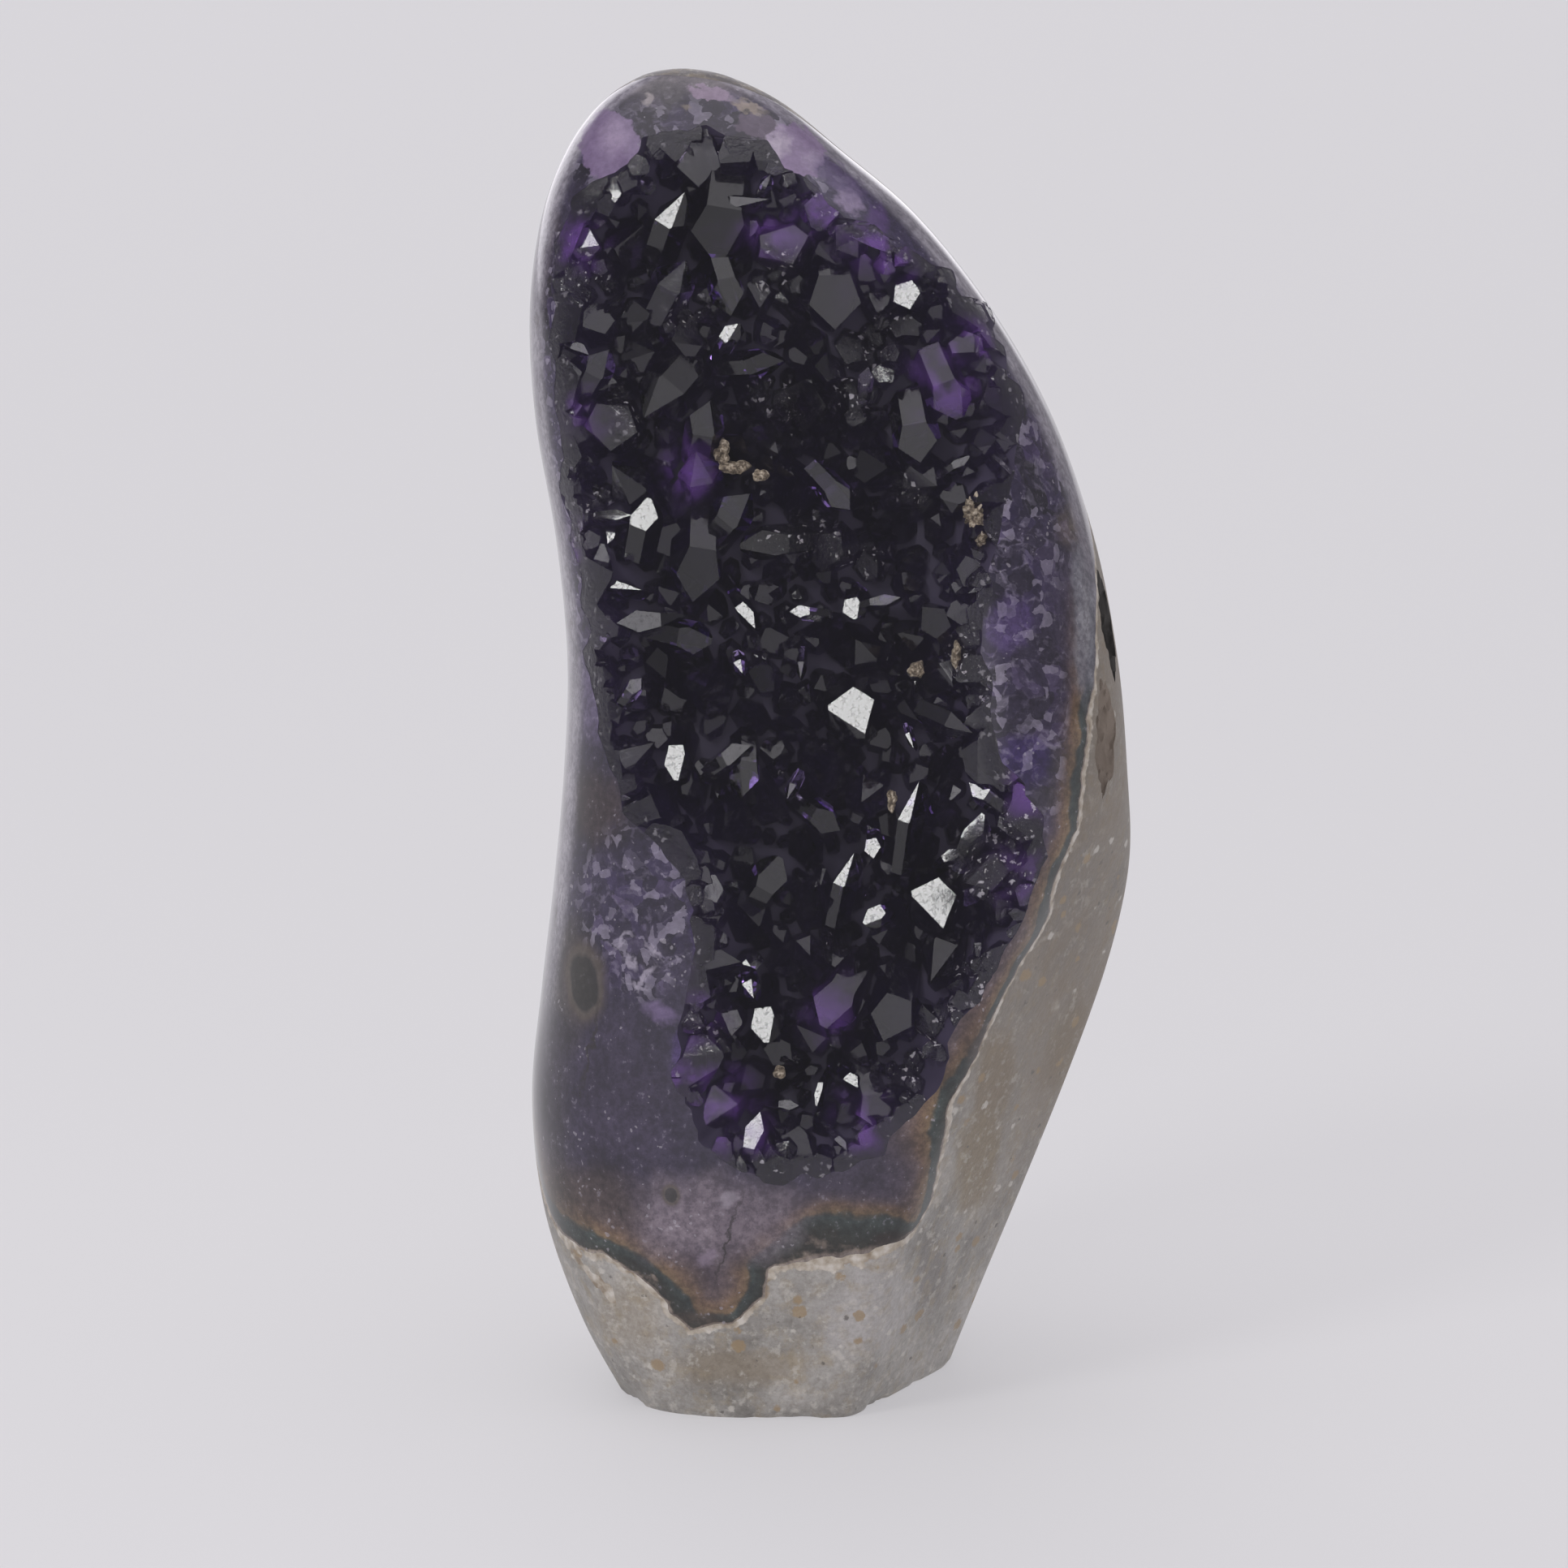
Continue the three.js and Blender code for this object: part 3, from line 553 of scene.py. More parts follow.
def shownCrystal(row, kind, habit, shake):
    x, z, width, lean, slim = row
    normal = (faceNormal(kind, x, z) + shake).normalized()
    slant = math.radians(crystals["faceAngle"])
    right = Vector((0, 0, 1)).cross(normal).normalized()
    up = normal.cross(right)
    turn = math.radians(lean)
    aside = up * math.cos(turn) + right * math.sin(turn)
    axis = normal * math.cos(slant) + aside * math.sin(slant)
    across = (normal - axis * math.cos(slant)).normalized()
    ground = np.array([x]), np.array([z])
    foot = bedAt(*ground)[0]
    room = foot - frontAt(*ground)[0] - 0.25 * width - 0.3
    height = max(0.8, min(room, crystals["shownHeight"] - (1.2 if width < 5.5 else 0)))
    centre = Vector((x, foot - height, z))
    tip = centre - across * 0.2 * width + axis * 0.4 * width
    return {
        "tip": tip, "axis": axis, "across": across, "width": width, "slim": slim, "habit": habit,
        "x": x, "z": z,
    }


def scatteredCrystals(taken, dice):
    spots = [(c["x"], c["z"], c["width"]) for c in taken]
    made = []
    for least, most, throws, closeness in crystals["sizes"]:
        for _ in range(throws):
            x, z = (dice.uniform(*ends) for ends in crystals["field"])
            width = dice.uniform(least, most)
            tiltX, tiltZ, spin, lift, habit, slim = (dice.random() for _ in range(6))
            inside = insideBed(np.array([x]), np.array([z]))[0]
            near = closeness * (crystals["edgeCloseness"] if inside < 3 else 1)
            crowded = any(math.hypot(x - a, z - b) < near / 2 * (width + w) for a, b, w in spots)
            if inside < -1.5 or crowded:
                continue
            spots.append((x, z, width))
            lean = crystals["tilt"] * (1 - 0.55 * nearPlaces(x, z, crystals["darkPlaces"]))
            tilt = Vector((tiltX - 0.5, 0, tiltZ - 0.5)) * lean
            axis = (bedNormal(x, z) + tilt).normalized()
            across = Vector((0, 0, 1)).cross(axis).normalized()
            across.rotate(Matrix.Rotation(2 * math.pi * spin, 3, axis))
            foot = Vector((x, bedAt(np.array([x]), np.array([z]))[0], z))
            tip = foot + axis * ((0.42 + 0.22 * lift) * width + 1.3)
            made.append({
                "tip": tip, "axis": axis, "across": across, "width": width, "slim": 0.65 + 0.4 * slim,
                "habit": int(habit * len(crystals["habits"])), "x": x, "z": z,
            })
    return made


def groupApart(rows):  # sorts the crystals into groups in which none touches another
    groups = []
    for row in sorted(rows, key=lambda r: -r["width"]):
        middle = row["tip"] - row["axis"] * 0.8 * row["width"]
        size = 0.98 * row["width"]
        for group in groups:
            if all((middle - m).length > size + s for m, s, _ in group):
                group.append((middle, size, row))
                break
        else:
            groups.append([(middle, size, row)])
    return [[row for _, _, row in group] for group in groups]


def joinCrystals(rows, habits):
    pieces = []
    for row in rows:
        axis, across, width = row["axis"], row["across"], row["width"]
        twin = copyOf(habits[row["habit"]], "crystal")
        side = axis.cross(across)
        turn = Matrix((across, side, axis)).transposed().to_4x4()
        size = Matrix.Diagonal((width * mm, width * row["slim"] * mm, width * mm, 1))
        twin.data.transform(Matrix.Translation(row["tip"] * mm) @ turn @ size)
        markFaces(twin, "tone", row["tone"])
        pieces.append(twin)
    deselectAll()
    for piece in pieces:
        piece.select_set(True)
    bpy.context.view_layer.objects.active = pieces[0]
    bpy.ops.object.join()
    return bpy.context.object


def markFaces(piece, name, value):
    writeAttribute(piece, name, [value] * len(piece.data.polygons), domain="FACE")


def makeCrust(room):
    dice = random.Random(crystals["seed"])
    habits = [cutHabit(depths) for depths in crystals["habits"]]
    rows = []
    for kind, shake in (("lit", 0.02), ("grey", 0.02), ("shaded", 0.13)):
        for i, row in enumerate(crystals[kind + "Faces"]):
            thrown = Vector((dice.uniform(-shake, shake), 0, dice.uniform(-shake, shake)))
            rows.append(shownCrystal(row, kind + "Normal", i % 4, thrown))
    rows += scatteredCrystals(rows, dice)
    crust = makeBedBlock("amethystCrystals", bed["crust"], (0, 60, 0))
    markFaces(crust, "tone", 0.3)
    markFaces(room, "tone", -1)
    for row in rows:
        rim = 1 - smoothStep(insideBed(np.array([row["x"]]), np.array([row["z"]]))[0], 1, 10)
        bright = nearPlaces(row["x"], row["z"], crystals["brightPlaces"])
        row["tone"] = min(1, 0.6 * dice.random() ** 1.5 + max(0.4 * rim, 0.8 * bright))
    groups = groupApart(rows)
    print("crystals", len(rows), "in", len(groups), "groups")
    for group in groups:
        combine(crust, "UNION", joinCrystals(group, habits))
    combine(crust, "INTERSECT", room)
    combine(crust, "INTERSECT", makeBedBlock("crustFront", -bed["sunk"], (0, -60, 0)))
    for habit in habits:
        bpy.data.objects.remove(habit)
    shadeCutFaces(crust, rows)
    return crust


def shadeCutFaces(crust, rows):  # each polished face gets the tone of the crystal that it cuts
    faces = crust.data.polygons
    tones, middles = np.zeros(len(faces)), np.zeros(len(faces) * 3)
    crust.data.attributes["tone"].data.foreach_get("value", tones)
    faces.foreach_get("center", middles)
    cut = np.nonzero(tones < 0)[0]
    middles = middles.reshape(-1, 3)[cut] / mm
    places = np.array([[row["x"], row["z"], row["width"], row["tone"]] for row in rows])
    away = np.hypot(middles[:, :1] - places[:, 0], middles[:, 2:] - places[:, 1]) / places[:, 2]
    tones[cut] = places[np.argmin(away, axis=1), 3]
    crust.data.attributes["tone"].data.foreach_set("value", tones)


crumbs = {
    # iron-stained crumbs between the crystals: x, z, half width, half height, how far they stand out
    "places": [
        (-9, 144.9, 1.0, 1.6, 5), (-7.3, 142.8, 1.6, 1.0, 5.2), (-3.5, 141.7, 1.0, 0.8, 5.2),
        (27.8, 136.6, 1.3, 2.7, 4), (28.9, 133, 1, 1, 4), (25.2, 116.2, 0.6, 1.8, 4.6),
        (19.5, 113.7, 1.0, 1.1, 4.6), (15.9, 94.5, 0.7, 1.6, 5.6), (-0.7, 54.2, 0.9, 0.7, 5.6),
    ],
    "roughness": 0.8,
    "size": 1.5,  # of its knobs
}


def addCrumbs(piece):
    markFaces(piece, "crumb", 0)
    for x, z, halfWidth, halfHeight, out in crumbs["places"]:
        deselectAll()
        bpy.ops.mesh.primitive_ico_sphere_add(subdivisions=5, radius=1)
        crumb = bpy.context.object
        unit = readPoints(crumb) * mm
        spots = unit * np.array((halfWidth, halfWidth, halfHeight)) + np.array((x, 0, z))
        swell = 1 + crumbs["roughness"] * fractal(spots, crumbs["size"], 3, 2.9)
        place = np.array([x]), np.array([z])
        depth = max(bedAt(*place)[0] - out, frontAt(*place)[0] + 2.6)
        form = unit * swell[:, None] * np.array((halfWidth, 2, halfHeight))
        writePoints(crumb, form + np.array((x, depth, z)))
        markFaces(crumb, "crumb", 1)
        combine(piece, "UNION", crumb)


pitRoughness = 0.3
pits = {
    # the openings on the right flank: middle and half size
    "crevice": ((48.2, -13, 118.5), (3, 4.2, 8)),
    "recess": ((47.9, -20.5, 102), (3.2, 3.2, 8.4)),
}


def cutPits(piece):
    for name, (middle, halfSize) in pits.items():
        deselectAll()
        bpy.ops.mesh.primitive_ico_sphere_add(subdivisions=5, radius=1)
        pit = bpy.context.object
        unit = readPoints(pit) * mm
        rough = 1 + pitRoughness * fractal(unit * 10, 6, 4, 4.2)
        writePoints(pit, unit * rough[:, None] * np.array(halfSize) + np.array(middle))
        # the crevice's walls are marked for the near-black painted shade of the ramp, the recess's walls
        # for their own pale brown
        markFaces(pit, "pitFace", 0.5 if name == "crevice" else 1)
        combine(piece, "DIFFERENCE", pit)


print("stone: the ground form")
ground = makeGround("basaltMatrix", 0)
markFaces(ground, "pitFace", 0)
markFaces(ground, "bedFace", 0)
cutPits(ground)
agate = copyOf(ground, "agateAndMassiveAmethyst")
rind = makeRindBlock()
combine(agate, "INTERSECT", rind, keep=True)
combine(ground, "DIFFERENCE", rind)
bedFront = makeBedBlock("bedFront", 0, (0, -60, 0))
markFaces(bedFront, "bedFace", 1)
combine(agate, "DIFFERENCE", bedFront)
print("crystals: the crust in the hollow")
crust = makeCrust(makeGround("crustRoom", 0.03))
addCrumbs(crust)
for piece in (ground, agate, crust):
    print(piece.name, sum(len(face.vertices) - 2 for face in piece.data.polygons), "triangles")


# Colour on the stone

# each stain's middle x and z, half its width and height, colour, strength and how soft its edge is
agateStains = {
    "crownGrey": (-17, 199, 13, 3.6, "#7b7477", 0.9, 0.8),
    "crownDark": (-14, 193, 12, 4.8, "#332a3d", 0.95, 0.3),
    "crownAgate": (-17.5, 196, 3.4, 2.4, "#565155", 0.85, 0.4),
    "violetRight": (11, 183.6, 6.5, 5, "#43365c", 0.85, 0.4),
    "violetEdge": (20, 176.5, 5, 5, "#3d3254", 0.8, 0.6),
    "leftSpecks": (-36, 178, 2.6, 14, "#574649", 0.7, 1),
    "leftStripViolet": (-33, 150, 2, 7, "#6b5a8c", 0.6, 0.7),
    "leftStripBright": (-31.2, 134, 2, 7, "#6a4d92", 0.7, 0.5),
    "leftStripLow": (-28.6, 110, 2.4, 8, "#84769a", 0.6, 0.7),
    "leftBrown": (-27.6, 92, 5.4, 6.5, "#473a3c", 0.9, 0.8),
    "leftViolet": (-22.7, 80, 7.6, 9, "#4f4466", 0.7, 0.3),
    "leftCracks": (-20.9, 71, 5, 5, "#6f667c", 0.6, 0.6),
    "leftBrownLine": (-31.4, 66.5, 3.5, 9, "#57504c", 0.8, 0.7),
    "violetLow": (-15, 57.5, 2.4, 4.4, "#5a4380", 0.85, 0.3),
    "violetHigh": (-11, 76, 3, 6, "#46326a", 0.8, 0.3),
    "leftRimGrey": (-35.5, 50, 4, 18, "#4b4549", 0.6, 1),
    "slateLow": (-24, 50, 10, 13, "#4a4058", 0.6, 1),
    "mauveLow": (-10, 33, 13, 7, "#978a92", 0.85, 1),
    "brownLowLeft": (-28, 34.5, 8, 5, "#564840", 0.7, 1),
    "greyLowRight": (12, 39, 9, 4, "#4c4356", 0.6, 1),
    "brownInGreen": (16, 28.8, 3.2, 1.6, "#3f342f", 0.85, 0.7),
    "brownLow": (-12.5, 16.5, 4, 1.6, "#5a4a40", 0.7, 1),
    "brownRight": (28, 60.5, 2.4, 7, "#5c463e", 0.6, 0.8),
    "violetRightRim": (36.5, 112, 5, 26, "#544b62", 0.85, 0.6),
    "rimHighRight": (33, 156, 6, 16, "#2f283c", 0.85, 0.6),
    "violetHighRight": (37.3, 145, 3, 5, "#543f6e", 0.7, 0.5),
    "cutOvalHigh": (26.6, 158, 4, 4.6, "#413a4b", 0.85, 0.2),
    "cutOval": (35.6, 139.6, 2.6, 5, "#413d4a", 0.9, 0.2),
    "violetCut": (33.2, 121, 3.4, 4.2, "#77609c", 0.85, 0.3),
    "violetCutLow": (35.4, 100.6, 4.6, 4.4, "#4c367a", 0.85, 0.25),
    "blueGrey": (44.6, 121, 2, 13, "#9a9ba1", 0.9, 0.5),
    "tanRight": (42.4, 134, 2.4, 2.6, "#7b6e62", 0.8, 0.6),
}
# painted sheen: a pale colour at the sides of the agate, where the polish turns away from the eye,
# standing in for the grazing reflection there: how wide it is, with a soft edge, its colour and strength
paintedSideSheen = (1.6, 3.2, "#b3afb6", 0.9)
rockStains = {
    "crownRock": (-15, 198, 24, 12, "#5f5a5c", 0.95, 0.8),
    "paleRock": (13, 18.5, 7, 9, "#bcb8b7", 0.75, 0.8),
    "tanRock": (-23, 16, 5, 6, "#988b77", 0.5, 1),
    "rustyFoot": (-8, 8.5, 10, 3.5, "#97876f", 0.5, 1),
    "darkRock": (22, 20, 2.6, 9, "#77716e", 0.6, 0.8),
    "rustyFlank": (31, 51, 3.6, 9, "#85745a", 0.8, 0.8),
    "rustyFlankLow": (29, 37, 4, 10, "#8b7b60", 0.8, 0.8),
    "rustyFlankEdge": (44, 50, 5, 9, "#88795f", 0.7, 0.9),
    "whiteGrain": (41, 59.6, 0.9, 1, "#e6e0d8", 0.95, 0.2),
    "greyFlank": (42, 78, 6, 16, "#827e7b", 0.6, 0.8),
}
# patches with crisp edges in the agate, healed cracks and chips: middle x and z, half length and half
# width, the way they run in degrees, colour, strength and how soft the edge is
agateMarkings = (
    (-25.8, 189.2, 4.5, 5.1, 0, "#7b6889", 0.92, 0.05), (-25, 190.4, 2.4, 2.6, 0, "#9d8ba6", 0.7, 0.8),
    (-23.6, 186.6, 1.2, 2.6, 20, "#6a5478", 0.6, 0.5), (1.8, 188.6, 4.6, 3.4, -30, "#857192", 0.92, 0.05),
    (-1, 189.6, 1.8, 2, 0, "#b3a8b6", 0.8, 0.6), (4.4, 187.4, 1.6, 1.2, 0, "#a294ab", 0.6, 0.6),
    (-11, 196.7, 3.6, 1.2, -8, "#8f7c92", 0.85, 0.1), (-5.4, 194.8, 2.6, 0.7, -20, "#94867b", 0.8, 0.4),
    (-4.2, 192.3, 3, 1.8, -10, "#594c5e", 0.9, 0.1), (-20, 196, 0.8, 0.8, 0, "#a39a9a", 0.7, 0.4),
    (-14.4, 194.9, 1.0, 0.7, 0, "#7c7064", 0.7, 0.4), (9.6, 181.6, 2.4, 1.6, -40, "#8f7f9d", 0.8, 0.3),
    (13.6, 178.4, 2, 2.4, 0, "#50336f", 0.7, 0.4), (8, 184.6, 5, 1.6, -38, "#57466e", 0.7, 0.3),
    (-18, 63.6, 2.8, 1.5, -15, "#806d96", 0.6, 0.5), (-8.3, 35.6, 1.6, 1.1, 65, "#958c97", 0.75, 0.4),
    (-11.6, 26.2, 1.7, 1.1, 50, "#8b7c8d", 0.75, 0.4), (-22.6, 70.6, 1.4, 0.6, -60, "#b3abbb", 0.7, 0.5),
    (-20.4, 68.6, 2.4, 0.5, 50, "#b3abbb", 0.7, 0.5), (-23.8, 73.6, 1.8, 0.4, 40, "#b3abbb", 0.6, 0.5),
    (-19, 72.6, 1.8, 0.4, -40, "#b3abbb", 0.6, 0.5), (-21.6, 67, 1.6, 0.4, -20, "#b3abbb", 0.6, 0.5),
    (-28.8, 57, 7.4, 0.32, 79, "#2a2426", 0.8, 0.6), (-8.6, 28.6, 7.6, 0.24, 74, "#2a2426", 0.8, 0.6),
    (-24.2, 32.8, 1.4, 0.25, 80, "#2a2426", 0.8, 0.6), (-33, 39, 2.6, 0.5, -60, "#2a2426", 0.8, 0.6),
    (-34.6, 75, 3.2, 0.6, -80, "#2a2426", 0.8, 0.6), (-1.8, 40.5, 2.6, 0.3, 88, "#2a2426", 0.8, 0.6),
    (-31.6, 47, 1.6, 0.3, -70, "#2a2426", 0.8, 0.6), (38.5, 66, 2, 0.25, 60, "#2a2426", 0.8, 0.6),
    (-35.6, 174, 1.6, 0.4, 75, "#4a4144", 0.8, 0.6), (-36.6, 163.5, 2.2, 0.4, 86, "#4a4144", 0.8, 0.6),
    (-36.4, 150, 1.4, 0.4, -84, "#4a4144", 0.8, 0.6), (-34.2, 134, 2.4, 0.4, -76, "#4a4144", 0.8, 0.6),
    (-32, 118, 2, 0.5, -80, "#4a4144", 0.8, 0.6),
)
# the crevice's walls take the near-black first stop, a painted shade in the slit; the recess's walls take
# the pale brown last stop, their own colour
openingColourAndShadeStops = ((0.5, "#2f2b29"), (1.0, "#8b7f74"))  # the walls of the crevice and of the recess
greenPool = (9, 29, 11, 8, 1.9)  # where the green band is wider: x, z, half sizes, and how much
# where the polished rim cuts through crystals: middle x and z, half width and height
sectionRegions = {
    "leftHigh": (-36, 140, 9, 44),
    "leftLow": (-22, 78, 9, 14),
    "top": (-10, 188, 26, 9),
    "rightHigh": (33, 150, 12, 34),
    "rightLow": (35, 108, 7, 26),
}


def stainOf(points, stains):
    wander = 0.35 * fractal(points, 7, 4, 5.5)
    tint, cover = np.zeros((len(points), 3)), np.zeros(len(points))
    for x, z, halfWidth, halfHeight, hexColour, strength, soft in stains.values():
        away = np.hypot((points[:, 0] - x) / halfWidth, (points[:, 2] - z) / halfHeight) + wander
        share = strength * (1 - smoothStep(away, 0.97 - 0.5 * soft, 1.03 + 0.3 * soft))
        tint = tint * (1 - share[:, None]) + share[:, None] * np.array(linear(hexColour)[:3])
        cover = cover + share - cover * share
    return np.concatenate([tint / np.maximum(cover, 1e-4)[:, None], cover[:, None]], axis=1)


def within(points, regions, start, end):
    best = np.zeros(len(points))
    for x, z, halfWidth, halfHeight in regions:
        away = np.hypot((points[:, 0] - x) / halfWidth, (points[:, 2] - z) / halfHeight)
        best = np.maximum(best, 1 - smoothStep(away, start, end))
    return best


# Materials

def newMaterial(name):
    material = bpy.data.materials.new(name)
    material.use_nodes = True
    material.node_tree.nodes.clear()
    return material, material.node_tree


def makeBasalt():
    # basalt, ground with coarse grit: satin, grey-brown, mottled with pale and rusty grains
    material, tree = newMaterial("groundBasalt")
    place = addNode(tree, "TexCoord").outputs["Object"]
    depth, rust, broken = (
        addNode(tree, "Attribute", attribute_name=name).outputs["Fac"]
        for name in ("contactDepth", "rust", "pitFace")
    )
    tint = addNode(tree, "Attribute", attribute_name="tint")
    # the rock's grains lie drawn out from front to back
    drawnOut = addNode(tree, "Mapping", {"Scale": (1, 0.5, 1), "Vector": place})
    # clouds about 15 mm across, mottles of 3 mm, pale flecks of 2 mm and grit under 1 mm
    cloud, mottle, fleck, grit = (
        addNode(tree, "TexNoise", {"Scale": scale, "Detail": detail, "Roughness": rough, "Vector": at})
        for scale, detail, rough, at in (
            (60, 8, 0.7, place), (330, 4, 0.6, place), (520, 3, 0.7, drawnOut), (1100, 4, 0.75, place),
        )
    )
    vein = addNode(tree, "TexNoise", {
        "Scale": 42, "Detail": 4, "Distortion": 0.9, "Vector": place,
    }, noise_type="RIDGED_MULTIFRACTAL")  # dark healed cracks, some 25 mm apart
    mottled, flecked, veined, rusted = (
        addNode(tree, "MapRange", {0: value, 1: start, 2: end, 3: least, 4: most})
        for value, start, end, least, most in (
            (mottle, 0.5, 0.68, 0, 0.5), (fleck, 0.54, 0.66, 0, 0.55), (vein, 1.0, 1.3, 0, 0.5),
            (cloud, 0.35, 0.65, 0.3, 0.85),
        )
    )
    rusty = addNode(tree, "Math", {0: rusted, 1: rust}, operation="MULTIPLY")
    gritty = addNode(tree, "ValToRGB", {0: grit}, stops=[(0.36, "#bcb7b0"), (0.6, "#ffffff")])
    colour = addNode(tree, "ValToRGB", {0: cloud}, stops=[
        (0.34, "#7f7b76"), (0.5, "#a19d98"), (0.66, "#bcb8b4"),
    ])
    for share, layer, blend in (
        (tint.outputs["Alpha"], tint.outputs["Color"], "MIX"), (mottled, linear("#a5967b"), "MIX"),
        (flecked, linear("#cdc8c0"), "MIX"), (0.45, gritty, "MULTIPLY"),
        (veined, linear("#5c5752"), "MIX"), (rusty, linear("#73634f"), "MIX"),
    ):
        colour = addNode(tree, "Mix", {0: share, 6: colour, 7: layer}, blend_type=blend)
    grains = (
        ("paleGrains", 420, 0.36, "#cfcac2", 3.0), ("rustyGrains", 330, 0.42, "#9c8460", 7.0),
        ("darkPores", 600, 0.3, "#55504c", 11.0),
    )
    crooked = addNode(tree, "VectorMath", {
        0: grit.outputs["Color"], 1: (0.0014, 0.0014, 0.0014), 2: drawnOut,
    }, operation="MULTIPLY_ADD")
    for label, scale, size, hexColour, shift in grains:  # grains 0.3 to 0.9 mm across
        moved = addNode(tree, "Mapping", {"Location": (shift, 0, 0), "Vector": crooked})
        spots = addNode(tree, "TexVoronoi", {"Scale": scale, "Vector": moved})
        spots.label = label
        sparse = addNode(tree, "SeparateXYZ", {0: spots.outputs["Color"]})
        limit = addNode(tree, "MapRange", {0: sparse, 1: 0.72, 2: 1, 3: 0, 4: size})
        inside = addNode(tree, "Math", {0: limit, 1: spots}, operation="SUBTRACT")
        soft = addNode(tree, "MapRange", {0: inside, 1: 0, 2: 0.1, 3: 0, 4: 0.75})
        colour = addNode(tree, "Mix", {0: soft, 6: colour, 7: linear(hexColour)})
    wander = addNode(tree, "TexNoise", {"Scale": 500, "Detail": 5, "Vector": place})
    moved = addNode(tree, "Math", {0: wander, 1: 3.2, 2: depth}, operation="MULTIPLY_ADD")
    rind = addNode(tree, "MapRange", {0: moved, 1: 0.6, 2: 0.85})
    coat = addNode(tree, "ValToRGB", {0: wander}, stops=[
        (0.35, "#8d7d6a"), (0.5, "#b5aa9b"), (0.65, "#d2cbc2"),
    ])
    # the crevice's walls painted near black as shade, the recess's walls their own pale brown
    hollow = addNode(tree, "ValToRGB", {0: broken}, stops=openingColourAndShadeStops)
    opened = addNode(tree, "MapRange", {0: broken, 1: 0.2, 2: 0.4})
    for share, layer in ((rind, coat), (opened, hollow)):
        colour = addNode(tree, "Mix", {0: share, 6: colour, 7: layer})
    roughness = addNode(tree, "MapRange", {0: broken, 3: 0.46, 4: 0.9})
    bump = addNode(tree, "Bump", {"Strength": 0.5, "Distance": 0.0003, "Height": grit})
    shader = addNode(tree, "BsdfPrincipled", {
        "Base Color": colour, "Roughness": roughness, "Normal": bump,
    })
    addNode(tree, "OutputMaterial", {"Surface": shader})
    return material


